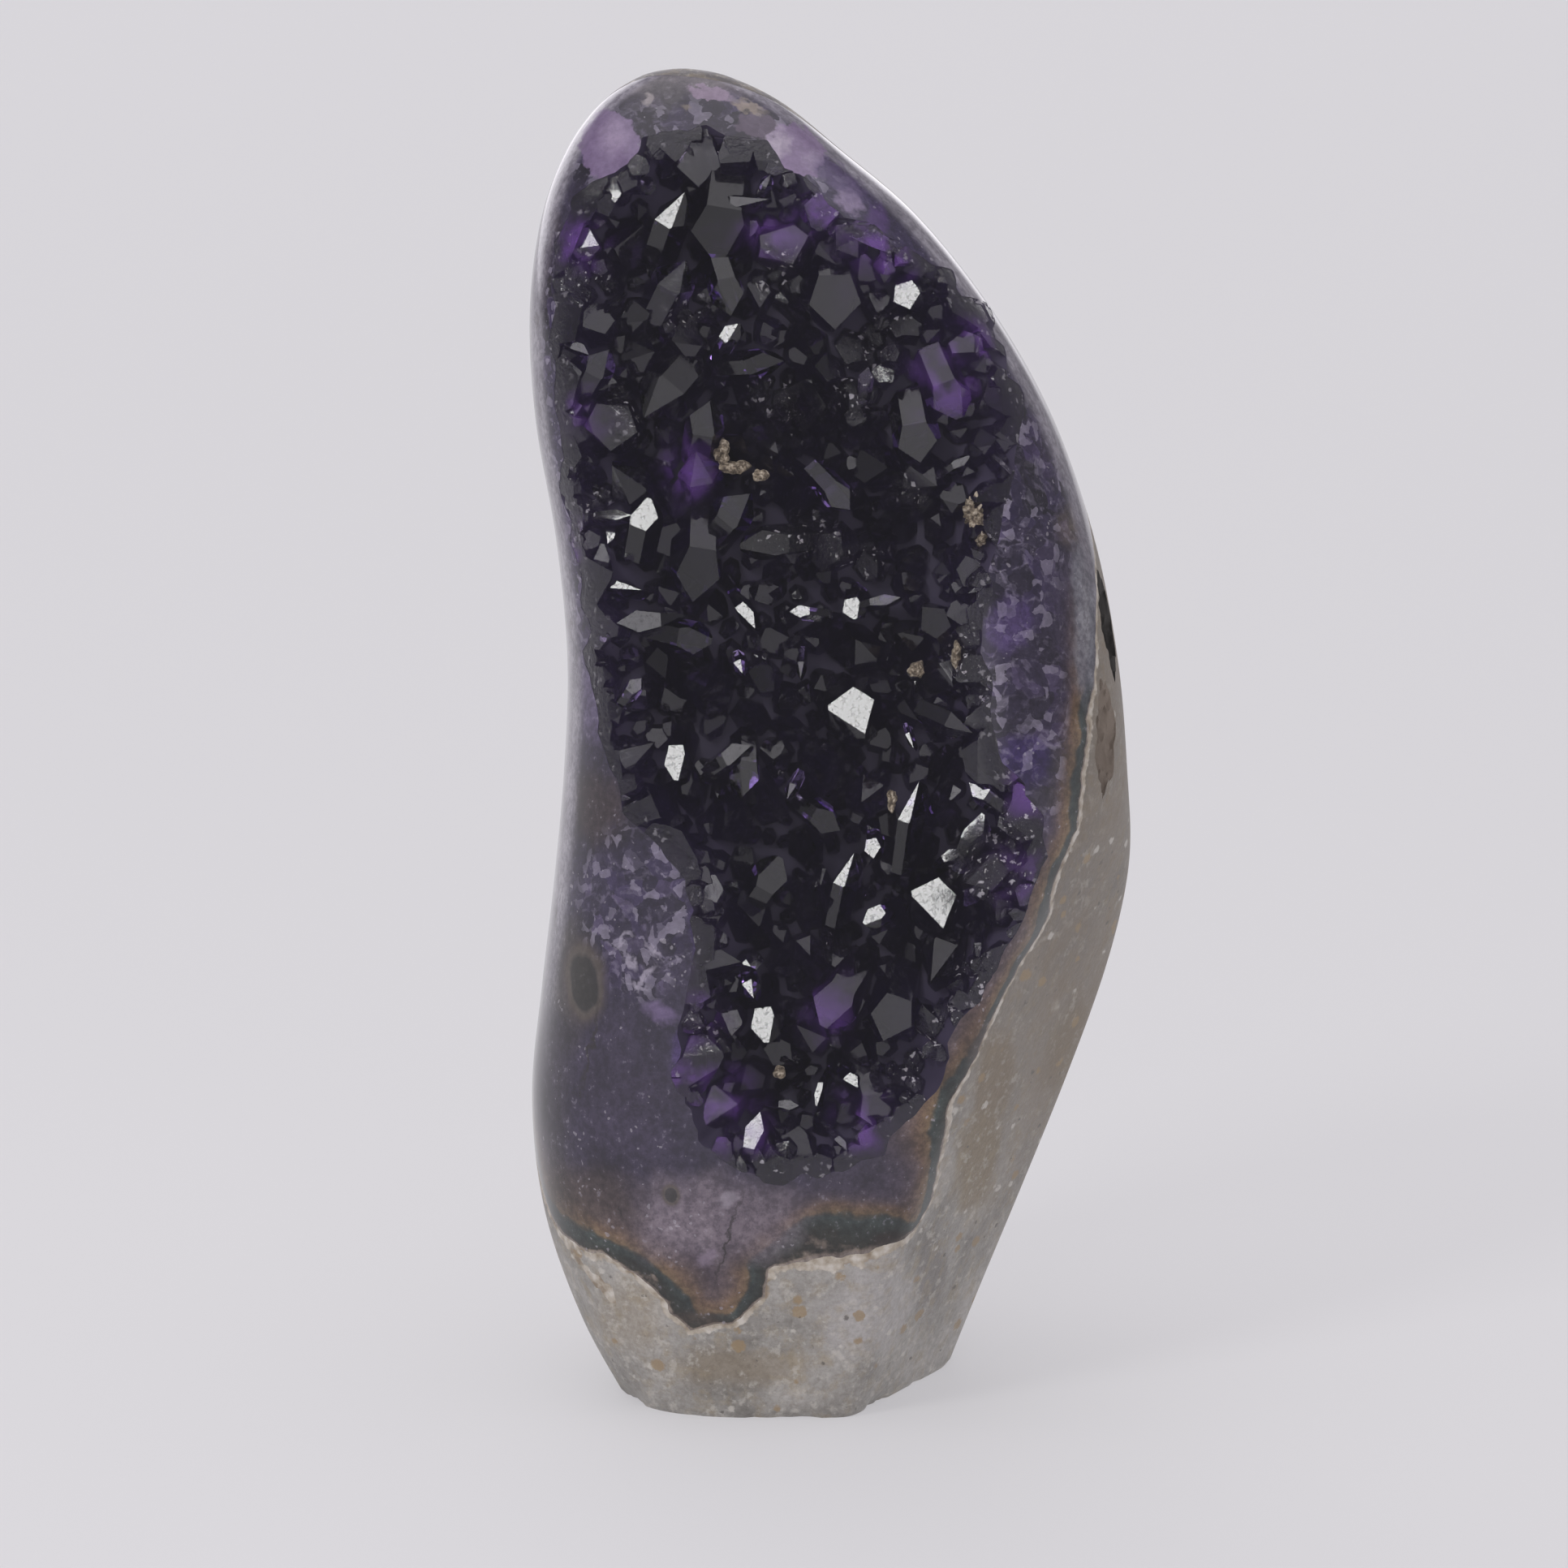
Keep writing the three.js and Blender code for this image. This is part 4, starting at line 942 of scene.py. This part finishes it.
def makeAgate():
    # agate and massive quartz, ground and polished: banded at the contact, violet-grey and cloudy inside
    material, tree = newMaterial("polishedAgate")
    place = addNode(tree, "TexCoord").outputs["Object"]
    depth, section, bedFace, pitFace, inwards = (
        addNode(tree, "Attribute", attribute_name=name).outputs["Fac"]
        for name in ("contactDepth", "sections", "bedFace", "pitFace", "bedDepth")
    )
    tint = addNode(tree, "Attribute", attribute_name="tint")
    wide = addNode(tree, "TexNoise", {"Scale": 160, "Detail": 5, "Vector": place})
    fine = addNode(tree, "TexNoise", {"Scale": 600, "Detail": 3, "Vector": place})
    green = addNode(tree, "TexNoise", {"Scale": 55, "Detail": 1, "Vector": place})

    # the bands lie 0 to 14 mm from the contact; wandering values make them wider or narrower
    wander = addNode(tree, "Math", {0: wide, 1: 4, 2: -2}, operation="MULTIPLY_ADD")
    swell = addNode(tree, "MapRange", {0: green, 1: 0.35, 2: 0.65, 3: 0.6, 4: -1.2})
    moved = addNode(tree, "Math", {0: wander, 1: swell}, operation="ADD")
    fade = addNode(tree, "MapRange", {0: depth, 1: 0.4, 2: 2})
    moved = addNode(tree, "Math", {0: moved, 1: fade, 2: depth}, operation="MULTIPLY_ADD")
    jagged = addNode(tree, "Math", {0: fine, 1: 0.7, 2: -0.35}, operation="MULTIPLY_ADD")
    moved = addNode(tree, "Math", {0: moved, 1: jagged}, operation="ADD")
    share = addNode(tree, "MapRange", {0: moved, 1: 0, 2: 14})
    banded = addNode(tree, "ValToRGB", {0: share}, stops=[
        (0.0, "#b3a899"), (0.018, "#a39583"), (0.03, "#3d3b34"), (0.06, "#3f4641"), (0.14, "#485350"),
        (0.17, "#5e5b4f"), (0.2, "#8c7558"), (0.3, "#8a705a"), (0.42, "#786663"), (0.58, "#675963"),
        (0.78, "#52485b"), (1.0, "#443c54"),
    ])
    cloudy = addNode(tree, "ValToRGB", {0: wide}, stops=[
        (0.3, "#a8a4ae"), (0.5, "#dad8dd"), (0.7, "#ffffff"),
    ])
    grain = addNode(tree, "TexNoise", {"Scale": 850, "Detail": 3, "Roughness": 0.7, "Vector": place})
    granular = addNode(tree, "ValToRGB", {0: grain}, stops=[
        (0.4, "#aeaab5"), (0.52, "#e6e4ea"), (0.64, "#ffffff"),
    ])
    dots = addNode(tree, "MapRange", {0: grain, 1: 0.62, 2: 0.72, 3: 0, 4: 0.35})
    # whitish threads and clouds in the quartz, away from the bands
    threads = addNode(tree, "TexNoise", {
        "Scale": 150, "Detail": 5, "Distortion": 0.6, "Vector": place,
    }, noise_type="RIDGED_MULTIFRACTAL")
    thread = addNode(tree, "MapRange", {0: threads, 1: 0.55, 2: 1, 3: 0, 4: 0.4})
    away = addNode(tree, "MapRange", {0: depth, 1: 3, 2: 7})
    hazy = addNode(tree, "Math", {0: thread, 1: away}, operation="MULTIPLY")
    for share, layer, blend in (
        (tint.outputs["Alpha"], tint.outputs["Color"], "MIX"), (0.9, cloudy, "MULTIPLY"),
        (0.55, granular, "MULTIPLY"), (dots, linear("#9a94a3"), "MIX"), (hazy, linear("#8f8698"), "MIX"),
    ):
        banded = addNode(tree, "Mix", {0: share, 6: banded, 7: layer}, blend_type=blend)

    # crystals cut through by the polish, about 4 mm across, with pale cracks between them
    bent = addNode(tree, "VectorMath", {
        0: wide.outputs["Color"], 1: (0.006, 0.006, 0.006), 2: place,
    }, operation="MULTIPLY_ADD")
    cells = addNode(tree, "TexVoronoi", {"Scale": 280, "Vector": bent})
    seams = addNode(tree, "TexVoronoi", {"Scale": 280, "Vector": bent}, feature="DISTANCE_TO_EDGE")
    sectioned = addNode(tree, "ValToRGB", {0: cells.outputs["Color"]}, stops=[
        (0.15, "#15121d"), (0.45, "#2b263a"), (0.7, "#40345a"), (0.92, "#6c5f80"),
    ])
    crack = addNode(tree, "MapRange", {0: fine, 1: 0.5, 2: 0.6, 3: 0, 4: 0.65})
    seam = addNode(tree, "MapRange", {0: seams, 1: 0.01, 2: 0.08, 3: 0.9, 4: 0})
    cracked = addNode(tree, "Math", {0: seam, 1: crack}, operation="MULTIPLY")
    drawnOut = addNode(tree, "Mapping", {"Scale": (0.22, 1, 1), "Vector": bent})
    growth = addNode(tree, "TexNoise", {"Scale": 900, "Detail": 3, "Vector": drawnOut})
    streak = addNode(tree, "MapRange", {0: growth, 1: 0.56, 2: 0.68, 3: 0, 4: 0.9})
    streaks = addNode(tree, "Math", {0: streak, 1: wide}, operation="MULTIPLY")
    # painted glints: a few small cells turn pale; the same cells are also multiplied paler or darker at
    # random
    glints = addNode(tree, "TexVoronoi", {"Scale": 620, "Vector": bent})
    facets = addNode(tree, "ValToRGB", {0: glints.outputs["Color"]}, stops=[
        (0.3, "#8d8797"), (0.5, "#e4e1ea"), (0.65, "#ffffff"),
    ])
    glint = addNode(tree, "MapRange", {0: glints.outputs["Color"], 1: 0.7, 2: 0.76, 3: 0, 4: 0.55})
    for share, layer, blend in (
        (cracked, linear("#9a91a8"), "MIX"), (streaks, linear("#b0a7bc"), "MIX"),
        (0.8, facets, "MULTIPLY"), (glint, linear("#b9b1c4"), "MIX"),
    ):
        sectioned = addNode(tree, "Mix", {0: share, 6: sectioned, 7: layer}, blend_type=blend)
    shown = addNode(tree, "MapRange", {0: tint.outputs["Alpha"], 3: 0.25, 4: 0.55})
    crossed = addNode(tree, "Mix", {0: shown, 6: sectioned, 7: banded})
    rimmed = addNode(tree, "Mix", {0: section, 6: banded, 7: crossed})

    # white specks 0.3 to 0.8 mm across
    crooked = addNode(tree, "VectorMath", {
        0: fine.outputs["Color"], 1: (0.0015, 0.0015, 0.0015), 2: place,
    }, operation="MULTIPLY_ADD")
    spots = addNode(tree, "TexVoronoi", {"Scale": 700, "Vector": crooked})
    limit = addNode(tree, "MapRange", {0: wide, 1: 0.45, 2: 0.7, 3: 0, 4: 0.26})
    inside = addNode(tree, "Math", {0: spots, 1: limit}, operation="LESS_THAN")
    shown = addNode(tree, "Math", {0: inside, 1: 0.42}, operation="MULTIPLY")
    colour = addNode(tree, "Mix", {0: shown, 6: rimmed, 7: linear("#b7b1ba")})

    # agate eyes: a dark green-grey core in a tan ring
    eyes = (
        ((-0.0296, -0.026, 0.0666), (0.0036, 0.009, 0.006)),
        ((-0.0167, -0.0345, 0.036), (0.0015, 0.004, 0.0019)),
    )
    for middle, halfSize in eyes:
        local = addNode(tree, "Mapping", {
            "Location": middle, "Scale": halfSize, "Vector": place,
        }, vector_type="TEXTURE")
        length = addNode(tree, "VectorMath", {0: local}, operation="LENGTH")
        away = addNode(tree, "Math", {0: wide, 1: 0.5, 2: length}, operation="MULTIPLY_ADD")
        away = addNode(tree, "Math", {0: away, 1: 0.25}, operation="SUBTRACT")
        ring = addNode(tree, "ValToRGB", {0: away}, stops=[
            (0.0, "#2d2c2a"), (0.6, "#33312f"), (0.7, "#5b534d"), (0.85, "#594f49"), (1.0, "#544a4b"),
        ])
        cover = addNode(tree, "MapRange", {0: away, 1: 0.8, 2: 1.2, 3: 0.85, 4: 0})
        colour = addNode(tree, "Mix", {0: cover, 6: colour, 7: ring})
    # patches, cracks and chips, frayed by up to 1.5 mm
    fray = addNode(tree, "VectorMath", {
        0: fine.outputs["Color"], 1: (0.5, 0.5, 0.5),
    }, operation="SUBTRACT")
    frayed = addNode(tree, "VectorMath", {
        0: fray, 1: (0.003, 0.003, 0.003), 2: place,
    }, operation="MULTIPLY_ADD")
    for x, z, halfLength, halfWidth, angle, hexColour, strength, soft in agateMarkings:
        y, halfDepth = (-18, 7) if x < -31 else (-30, 100)  # those on the flank don't reach far back
        local = addNode(tree, "Mapping", {
            "Location": (x * mm, y * mm, z * mm), "Rotation": (0, -math.radians(angle), 0),
            "Scale": (halfLength * mm, halfDepth * mm, halfWidth * mm), "Vector": frayed,
        }, vector_type="TEXTURE")
        length = addNode(tree, "VectorMath", {0: local}, operation="LENGTH")
        cover = addNode(tree, "MapRange", {0: length, 1: 1 - soft, 2: 1 + soft / 2, 3: strength, 4: 0})
        colour = addNode(tree, "Mix", {0: cover, 6: colour, 7: linear(hexColour)})
    colour = addNode(tree, "Mix", {0: 0.3, 6: colour, 7: granular}, blend_type="MULTIPLY")
    # the bed under the crystals, dark violet and painted darker further into the hollow as shade between
    # them, and rough between them; and the broken walls of the openings, those of the crevice painted
    # near black as shade
    bedShade = addNode(tree, "MapRange", {0: inwards, 1: 0.5, 2: 10})
    bedColourAndShade = addNode(tree, "ValToRGB", {0: bedShade}, stops=[
        (0.0, "#2f2640"), (0.35, "#2c223f"), (1.0, "#221a32"),
    ])
    hollow = addNode(tree, "ValToRGB", {0: pitFace}, stops=openingColourAndShadeStops)
    opened = addNode(tree, "MapRange", {0: pitFace, 1: 0.2, 2: 0.4})
    for share, shown in ((bedFace, bedColourAndShade), (opened, hollow)):
        colour = addNode(tree, "Mix", {0: share, 6: colour, 7: shown})
    broken = addNode(tree, "Math", {0: bedFace, 1: pitFace}, operation="MAXIMUM")
    roughness = addNode(tree, "MapRange", {0: broken, 3: 0.12, 4: 0.75})
    shader = addNode(tree, "BsdfPrincipled", {"IOR": 1.54, "Base Color": colour, "Roughness": roughness})
    addNode(tree, "OutputMaterial", {"Surface": shader})
    return material


def makeAmethyst():
    # amethyst: iron-coloured quartz, IOR 1.544, flat natural faces as bright as glass
    material, tree = newMaterial("amethyst")
    place = addNode(tree, "TexCoord").outputs["Object"]
    tone, sparkling, glow, crumb = (
        addNode(tree, "Attribute", attribute_name=name).outputs["Fac"]
        for name in ("tone", "sparkling", "glow", "crumb")
    )
    tint = addNode(tree, "Attribute", attribute_name="tint")
    cloud = addNode(tree, "TexNoise", {"Scale": 200, "Detail": 4, "Vector": place})
    shade = addNode(tree, "Math", {0: cloud, 1: 0.5, 2: -0.25}, operation="MULTIPLY_ADD")
    toned = addNode(tree, "Math", {0: shade, 1: tone}, operation="ADD")
    colour = addNode(tree, "ValToRGB", {0: toned}, stops=[
        (0.0, "#9a8fb0"), (0.45, "#bfb0db"), (1.0, "#f2ebfd"),
    ])
    bright = addNode(tree, "Mix", {0: tint.outputs["Alpha"], 6: colour, 7: linear("#eadff7")})
    grit = addNode(tree, "TexNoise", {"Scale": 1300, "Detail": 4, "Roughness": 0.65, "Vector": place})
    frost = addNode(tree, "MapRange", {0: grit, 1: 0.5, 2: 0.64, 3: 0.03, 4: 0.24})
    rubbed = addNode(tree, "MapRange", {0: sparkling, 3: 0.03, 4: 0.1})
    roughness = addNode(tree, "Math", {0: frost, 1: rubbed}, operation="MAXIMUM")
    bump = addNode(tree, "Bump", {"Distance": 0.0006, "Height": grit, "Strength": sparkling})
    shader = addNode(tree, "BsdfPrincipled", {
        "IOR": 1.544, "Transmission Weight": 1, "Base Color": bright, "Roughness": roughness,
        "Normal": bump,
    })
    # milky violet clouds and whitish healed cracks inside the paler crystals
    milky = addNode(tree, "MapRange", {0: cloud, 1: 0.44, 2: 0.6, 3: 0.05, 4: 0.6})
    milkyShare = addNode(tree, "Math", {0: milky, 1: glow}, operation="MULTIPLY")
    milk = addNode(tree, "BsdfPrincipled", {"Base Color": linear("#71469c"), "Roughness": 0.3})
    clouded = addNode(tree, "MixShader", {0: milkyShare, 1: shader, 2: milk})
    healed = addNode(tree, "TexNoise", {
        "Scale": 260, "Detail": 4, "Distortion": 0.4, "Vector": place,
    }, noise_type="RIDGED_MULTIFRACTAL")
    line = addNode(tree, "MapRange", {0: healed, 1: 0.85, 2: 1.1, 3: 0, 4: 0.6})
    lines = addNode(tree, "Math", {0: line, 1: glow}, operation="MULTIPLY")
    # crumbs of iron-stained quartz, dull and ochre, and painted glints: tiny dull white specks where the
    # faces sparkle
    ochre = addNode(tree, "ValToRGB", {0: grit}, stops=[
        (0.38, "#463c34"), (0.5, "#7f7261"), (0.62, "#b9ad9c"),
    ])
    crooked = addNode(tree, "VectorMath", {
        0: grit.outputs["Color"], 1: (0.002, 0.002, 0.002), 2: place,
    }, operation="MULTIPLY_ADD")
    paintedGlintCells = addNode(tree, "TexVoronoi", {"Scale": 900, "Vector": crooked})
    sparse = addNode(tree, "SeparateXYZ", {0: paintedGlintCells.outputs["Color"]})
    limit = addNode(tree, "MapRange", {0: sparse, 1: 0.35, 2: 1, 3: 0, 4: 0.42})
    inside = addNode(tree, "Math", {0: paintedGlintCells, 1: limit}, operation="LESS_THAN")
    paintedGlints = addNode(tree, "Math", {0: inside, 1: sparkling}, operation="MULTIPLY")
    paintedGlintShare = addNode(tree, "Math", {0: paintedGlints, 1: 0.6}, operation="MULTIPLY")
    pale = addNode(tree, "Math", {0: paintedGlintShare, 1: lines}, operation="MAXIMUM")
    cover = addNode(tree, "Math", {0: pale, 1: crumb}, operation="MAXIMUM")
    glintAndCrumbColour = addNode(tree, "Mix", {0: crumb, 6: linear("#cfcad2"), 7: ochre})
    dull = addNode(tree, "BsdfPrincipled", {"Roughness": 0.8, "Base Color": glintAndCrumbColour})
    both = addNode(tree, "MixShader", {0: cover, 1: clouded, 2: dull})
    body = addNode(tree, "VolumeAbsorption", {"Color": (0.34, 0.14, 0.56, 1), "Density": 200})
    addNode(tree, "OutputMaterial", {"Surface": both, "Volume": body})
    return material


def finishPiece(piece, node, material, smooth):
    piece.data.materials.clear()
    piece.data.materials.append(material)
    deselectAll()
    piece.select_set(True)
    bpy.context.view_layer.objects.active = piece
    bpy.ops.object.shade_smooth_by_angle(angle=math.radians(smooth))
    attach(piece, "root")
    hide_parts(node)


print("materials")
for piece in (ground, agate, crust):
    points = readPoints(piece)
    tint = stainOf(points, rockStains if piece is ground else agateStains)
    if piece is agate:
        # paint a pale sheen at the agate's sides, standing in for the grazing reflection on the polish
        near, far, hexColour, strength = paintedSideSheen
        level = levelAt(points[:, 2])
        left, right = levelValue("left", level), levelValue("right", level)
        paintedSheen = 1 - smoothStep(np.minimum(points[:, 0] - left, right - points[:, 0]), near, far)
        paintedSheen = (strength * paintedSheen * smoothStep(points[:, 2], 50, 80))[:, None]
        cover = tint[:, 3:] + paintedSheen - tint[:, 3:] * paintedSheen
        mixed = tint[:, :3] * tint[:, 3:] * (1 - paintedSheen) + np.array(linear(hexColour)[:3]) * paintedSheen
        tint = np.concatenate([mixed / np.maximum(cover, 1e-4), cover], axis=1)
        cutThrough = within(points, sectionRegions.values(), 0.7, 1.1) * (1 - paintedSheen[:, 0])
    writeAttribute(piece, "tint", tint, "FLOAT_COLOR")
    if piece is crust:
        # the sparkling places and a band along the edge of the hollow get bumped faces and painted
        # glints, tiny white specks
        edge = 0.4 * (1 - smoothStep(insideBed(points[:, 0], points[:, 2]), 1.5, 3.5))
        sparkling = np.maximum(within(points, crystals["sparkling"], 0.7, 1.2), edge)
        writeAttribute(piece, "sparkling", sparkling)
        pale = [(x, z, size, size) for x, z, size in crystals["brightPlaces"]]
        writeAttribute(piece, "glow", within(points, pale, 0.2, 1))
        continue
    depth = intoRind(points)
    x, z, halfWidth, halfHeight, more = greenPool
    away = np.hypot((points[:, 0] - x) / halfWidth, (points[:, 2] - z) / halfHeight)
    wider = 1 + more * (1 - smoothStep(away, 0.4, 1.1))
    crown = (8 if piece is agate else -8) * smoothStep(points[:, 2], 150, 176)
    writeAttribute(piece, "contactDepth", depth / wider + crown)
    writeAttribute(piece, "bedDepth", insideBed(points[:, 0], points[:, 2]))
    if piece is ground:
        flank = smoothStep(points[:, 0] + 0.35 * (points[:, 2] - 60), 10, 40)
        rusty = np.maximum(flank, smoothStep(points[:, 1], 5, 25))
        writeAttribute(piece, "rust", rusty * (1 - smoothStep(points[:, 2], 170, 190)))
    else:
        writeAttribute(piece, "sections", cutThrough)
finishPiece(ground, "basalt_matrix", makeBasalt(), 35)
finishPiece(agate, "agate_and_massive_amethyst", makeAgate(), 35)
finishPiece(crust, "amethyst_crystals", makeAmethyst(), 9)


# The studio

studio = {
    "target": (0, 0, 0.0921),
    "distance": 1.0,
    "elevation": 9,  # degrees
    "lens": 151.5,
    "floorSize": 40,
    "tableGlow": 0.41,  # the table is pale acrylic, lit a little from below
    "room": 0.27,  # how bright the dark room is behind the camera, then what is added to it
    "ceiling": 1.15,
    "backdrop": 1.4,
    "window": 0.9,
    "panel": 2.3,
    "veil": 0.0103,  # the haze of the lens, which lifts the blacks
    "backdropDirection": (-0.26, 0.96, 0.1),
    "windowDirection": (0.14, -0.98, 0.12),
    "panelDirection": (-0.132, -0.898, 0.42),
    "boxDirection": (-0.469, -0.647, 0.602),
    "boxDistance": 1.2,
    "boxSize": (0.26, 0.32),
    "boxPower": 3.3,
}


def makeWorld():
    world = bpy.data.worlds.new("studio")
    bpy.context.scene.world = world
    world.use_nodes = True
    tree = world.node_tree
    tree.nodes.clear()
    towards = addNode(tree, "TexCoord").outputs["Generated"]
    axes = addNode(tree, "SeparateXYZ", {0: towards})
    strength = addNode(tree, "MapRange", {
        0: axes.outputs[2], 1: 0.65, 2: 0.98, 3: studio["room"], 4: studio["room"] + studio["ceiling"],
    }, interpolation_type="SMOOTHSTEP")
    for name, start, end in (("backdrop", 0.8, 0.95), ("window", 0.86, 0.96), ("panel", 0.987, 0.996)):
        direction = Vector(studio[name + "Direction"]).normalized()
        facing = addNode(tree, "VectorMath", {0: towards, 1: direction}, operation="DOT_PRODUCT")
        more = addNode(tree, "MapRange", {
            0: facing, 1: start, 2: end, 3: 0, 4: studio[name],
        }, interpolation_type="SMOOTHSTEP")
        strength = addNode(tree, "Math", {0: strength, 1: more}, operation="ADD")
    sky = addNode(tree, "Background", {"Color": (0.975, 0.95, 1, 1), "Strength": strength})
    addNode(tree, "OutputWorld", {"Surface": sky})


def makeStudio():
    deselectAll()
    bpy.ops.mesh.primitive_plane_add(size=studio["floorSize"])
    floor = bpy.context.object
    floor.name = "floor"
    material, tree = newMaterial("paleAcrylic")
    shader = addNode(tree, "BsdfPrincipled", {
        "Base Color": linear("#9a9999"), "Roughness": 0.8, "Specular IOR Level": 0.2,
        "Emission Color": (0.97, 0.955, 1, 1), "Emission Strength": studio["tableGlow"],
    })
    addNode(tree, "OutputMaterial", {"Surface": shader})
    floor.data.materials.append(material)

    target = Vector(studio["target"])
    tilt = math.radians(studio["elevation"])
    back = Vector((0, -math.cos(tilt), math.sin(tilt)))
    bpy.ops.object.camera_add(location=target + back * studio["distance"])
    camera = bpy.context.object
    camera.rotation_euler = (-back).to_track_quat("-Z", "Y").to_euler()
    camera.data.lens = studio["lens"]
    bpy.context.scene.camera = camera

    towards = Vector(studio["boxDirection"]).normalized()
    bpy.ops.object.light_add(type="AREA", location=target + towards * studio["boxDistance"])
    box = bpy.context.object
    box.rotation_euler = (-towards).to_track_quat("-Z", "Y").to_euler()
    box.data.shape = "RECTANGLE"
    box.data.size, box.data.size_y = studio["boxSize"]
    box.data.energy = studio["boxPower"]
    makeWorld()
    view = bpy.context.scene.view_settings
    view.view_transform = "Standard"
    view.use_curve_mapping = True
    view.curve_mapping.black_level = [-studio["veil"]] * 3
    view.curve_mapping.update()


print("studio")
makeStudio()
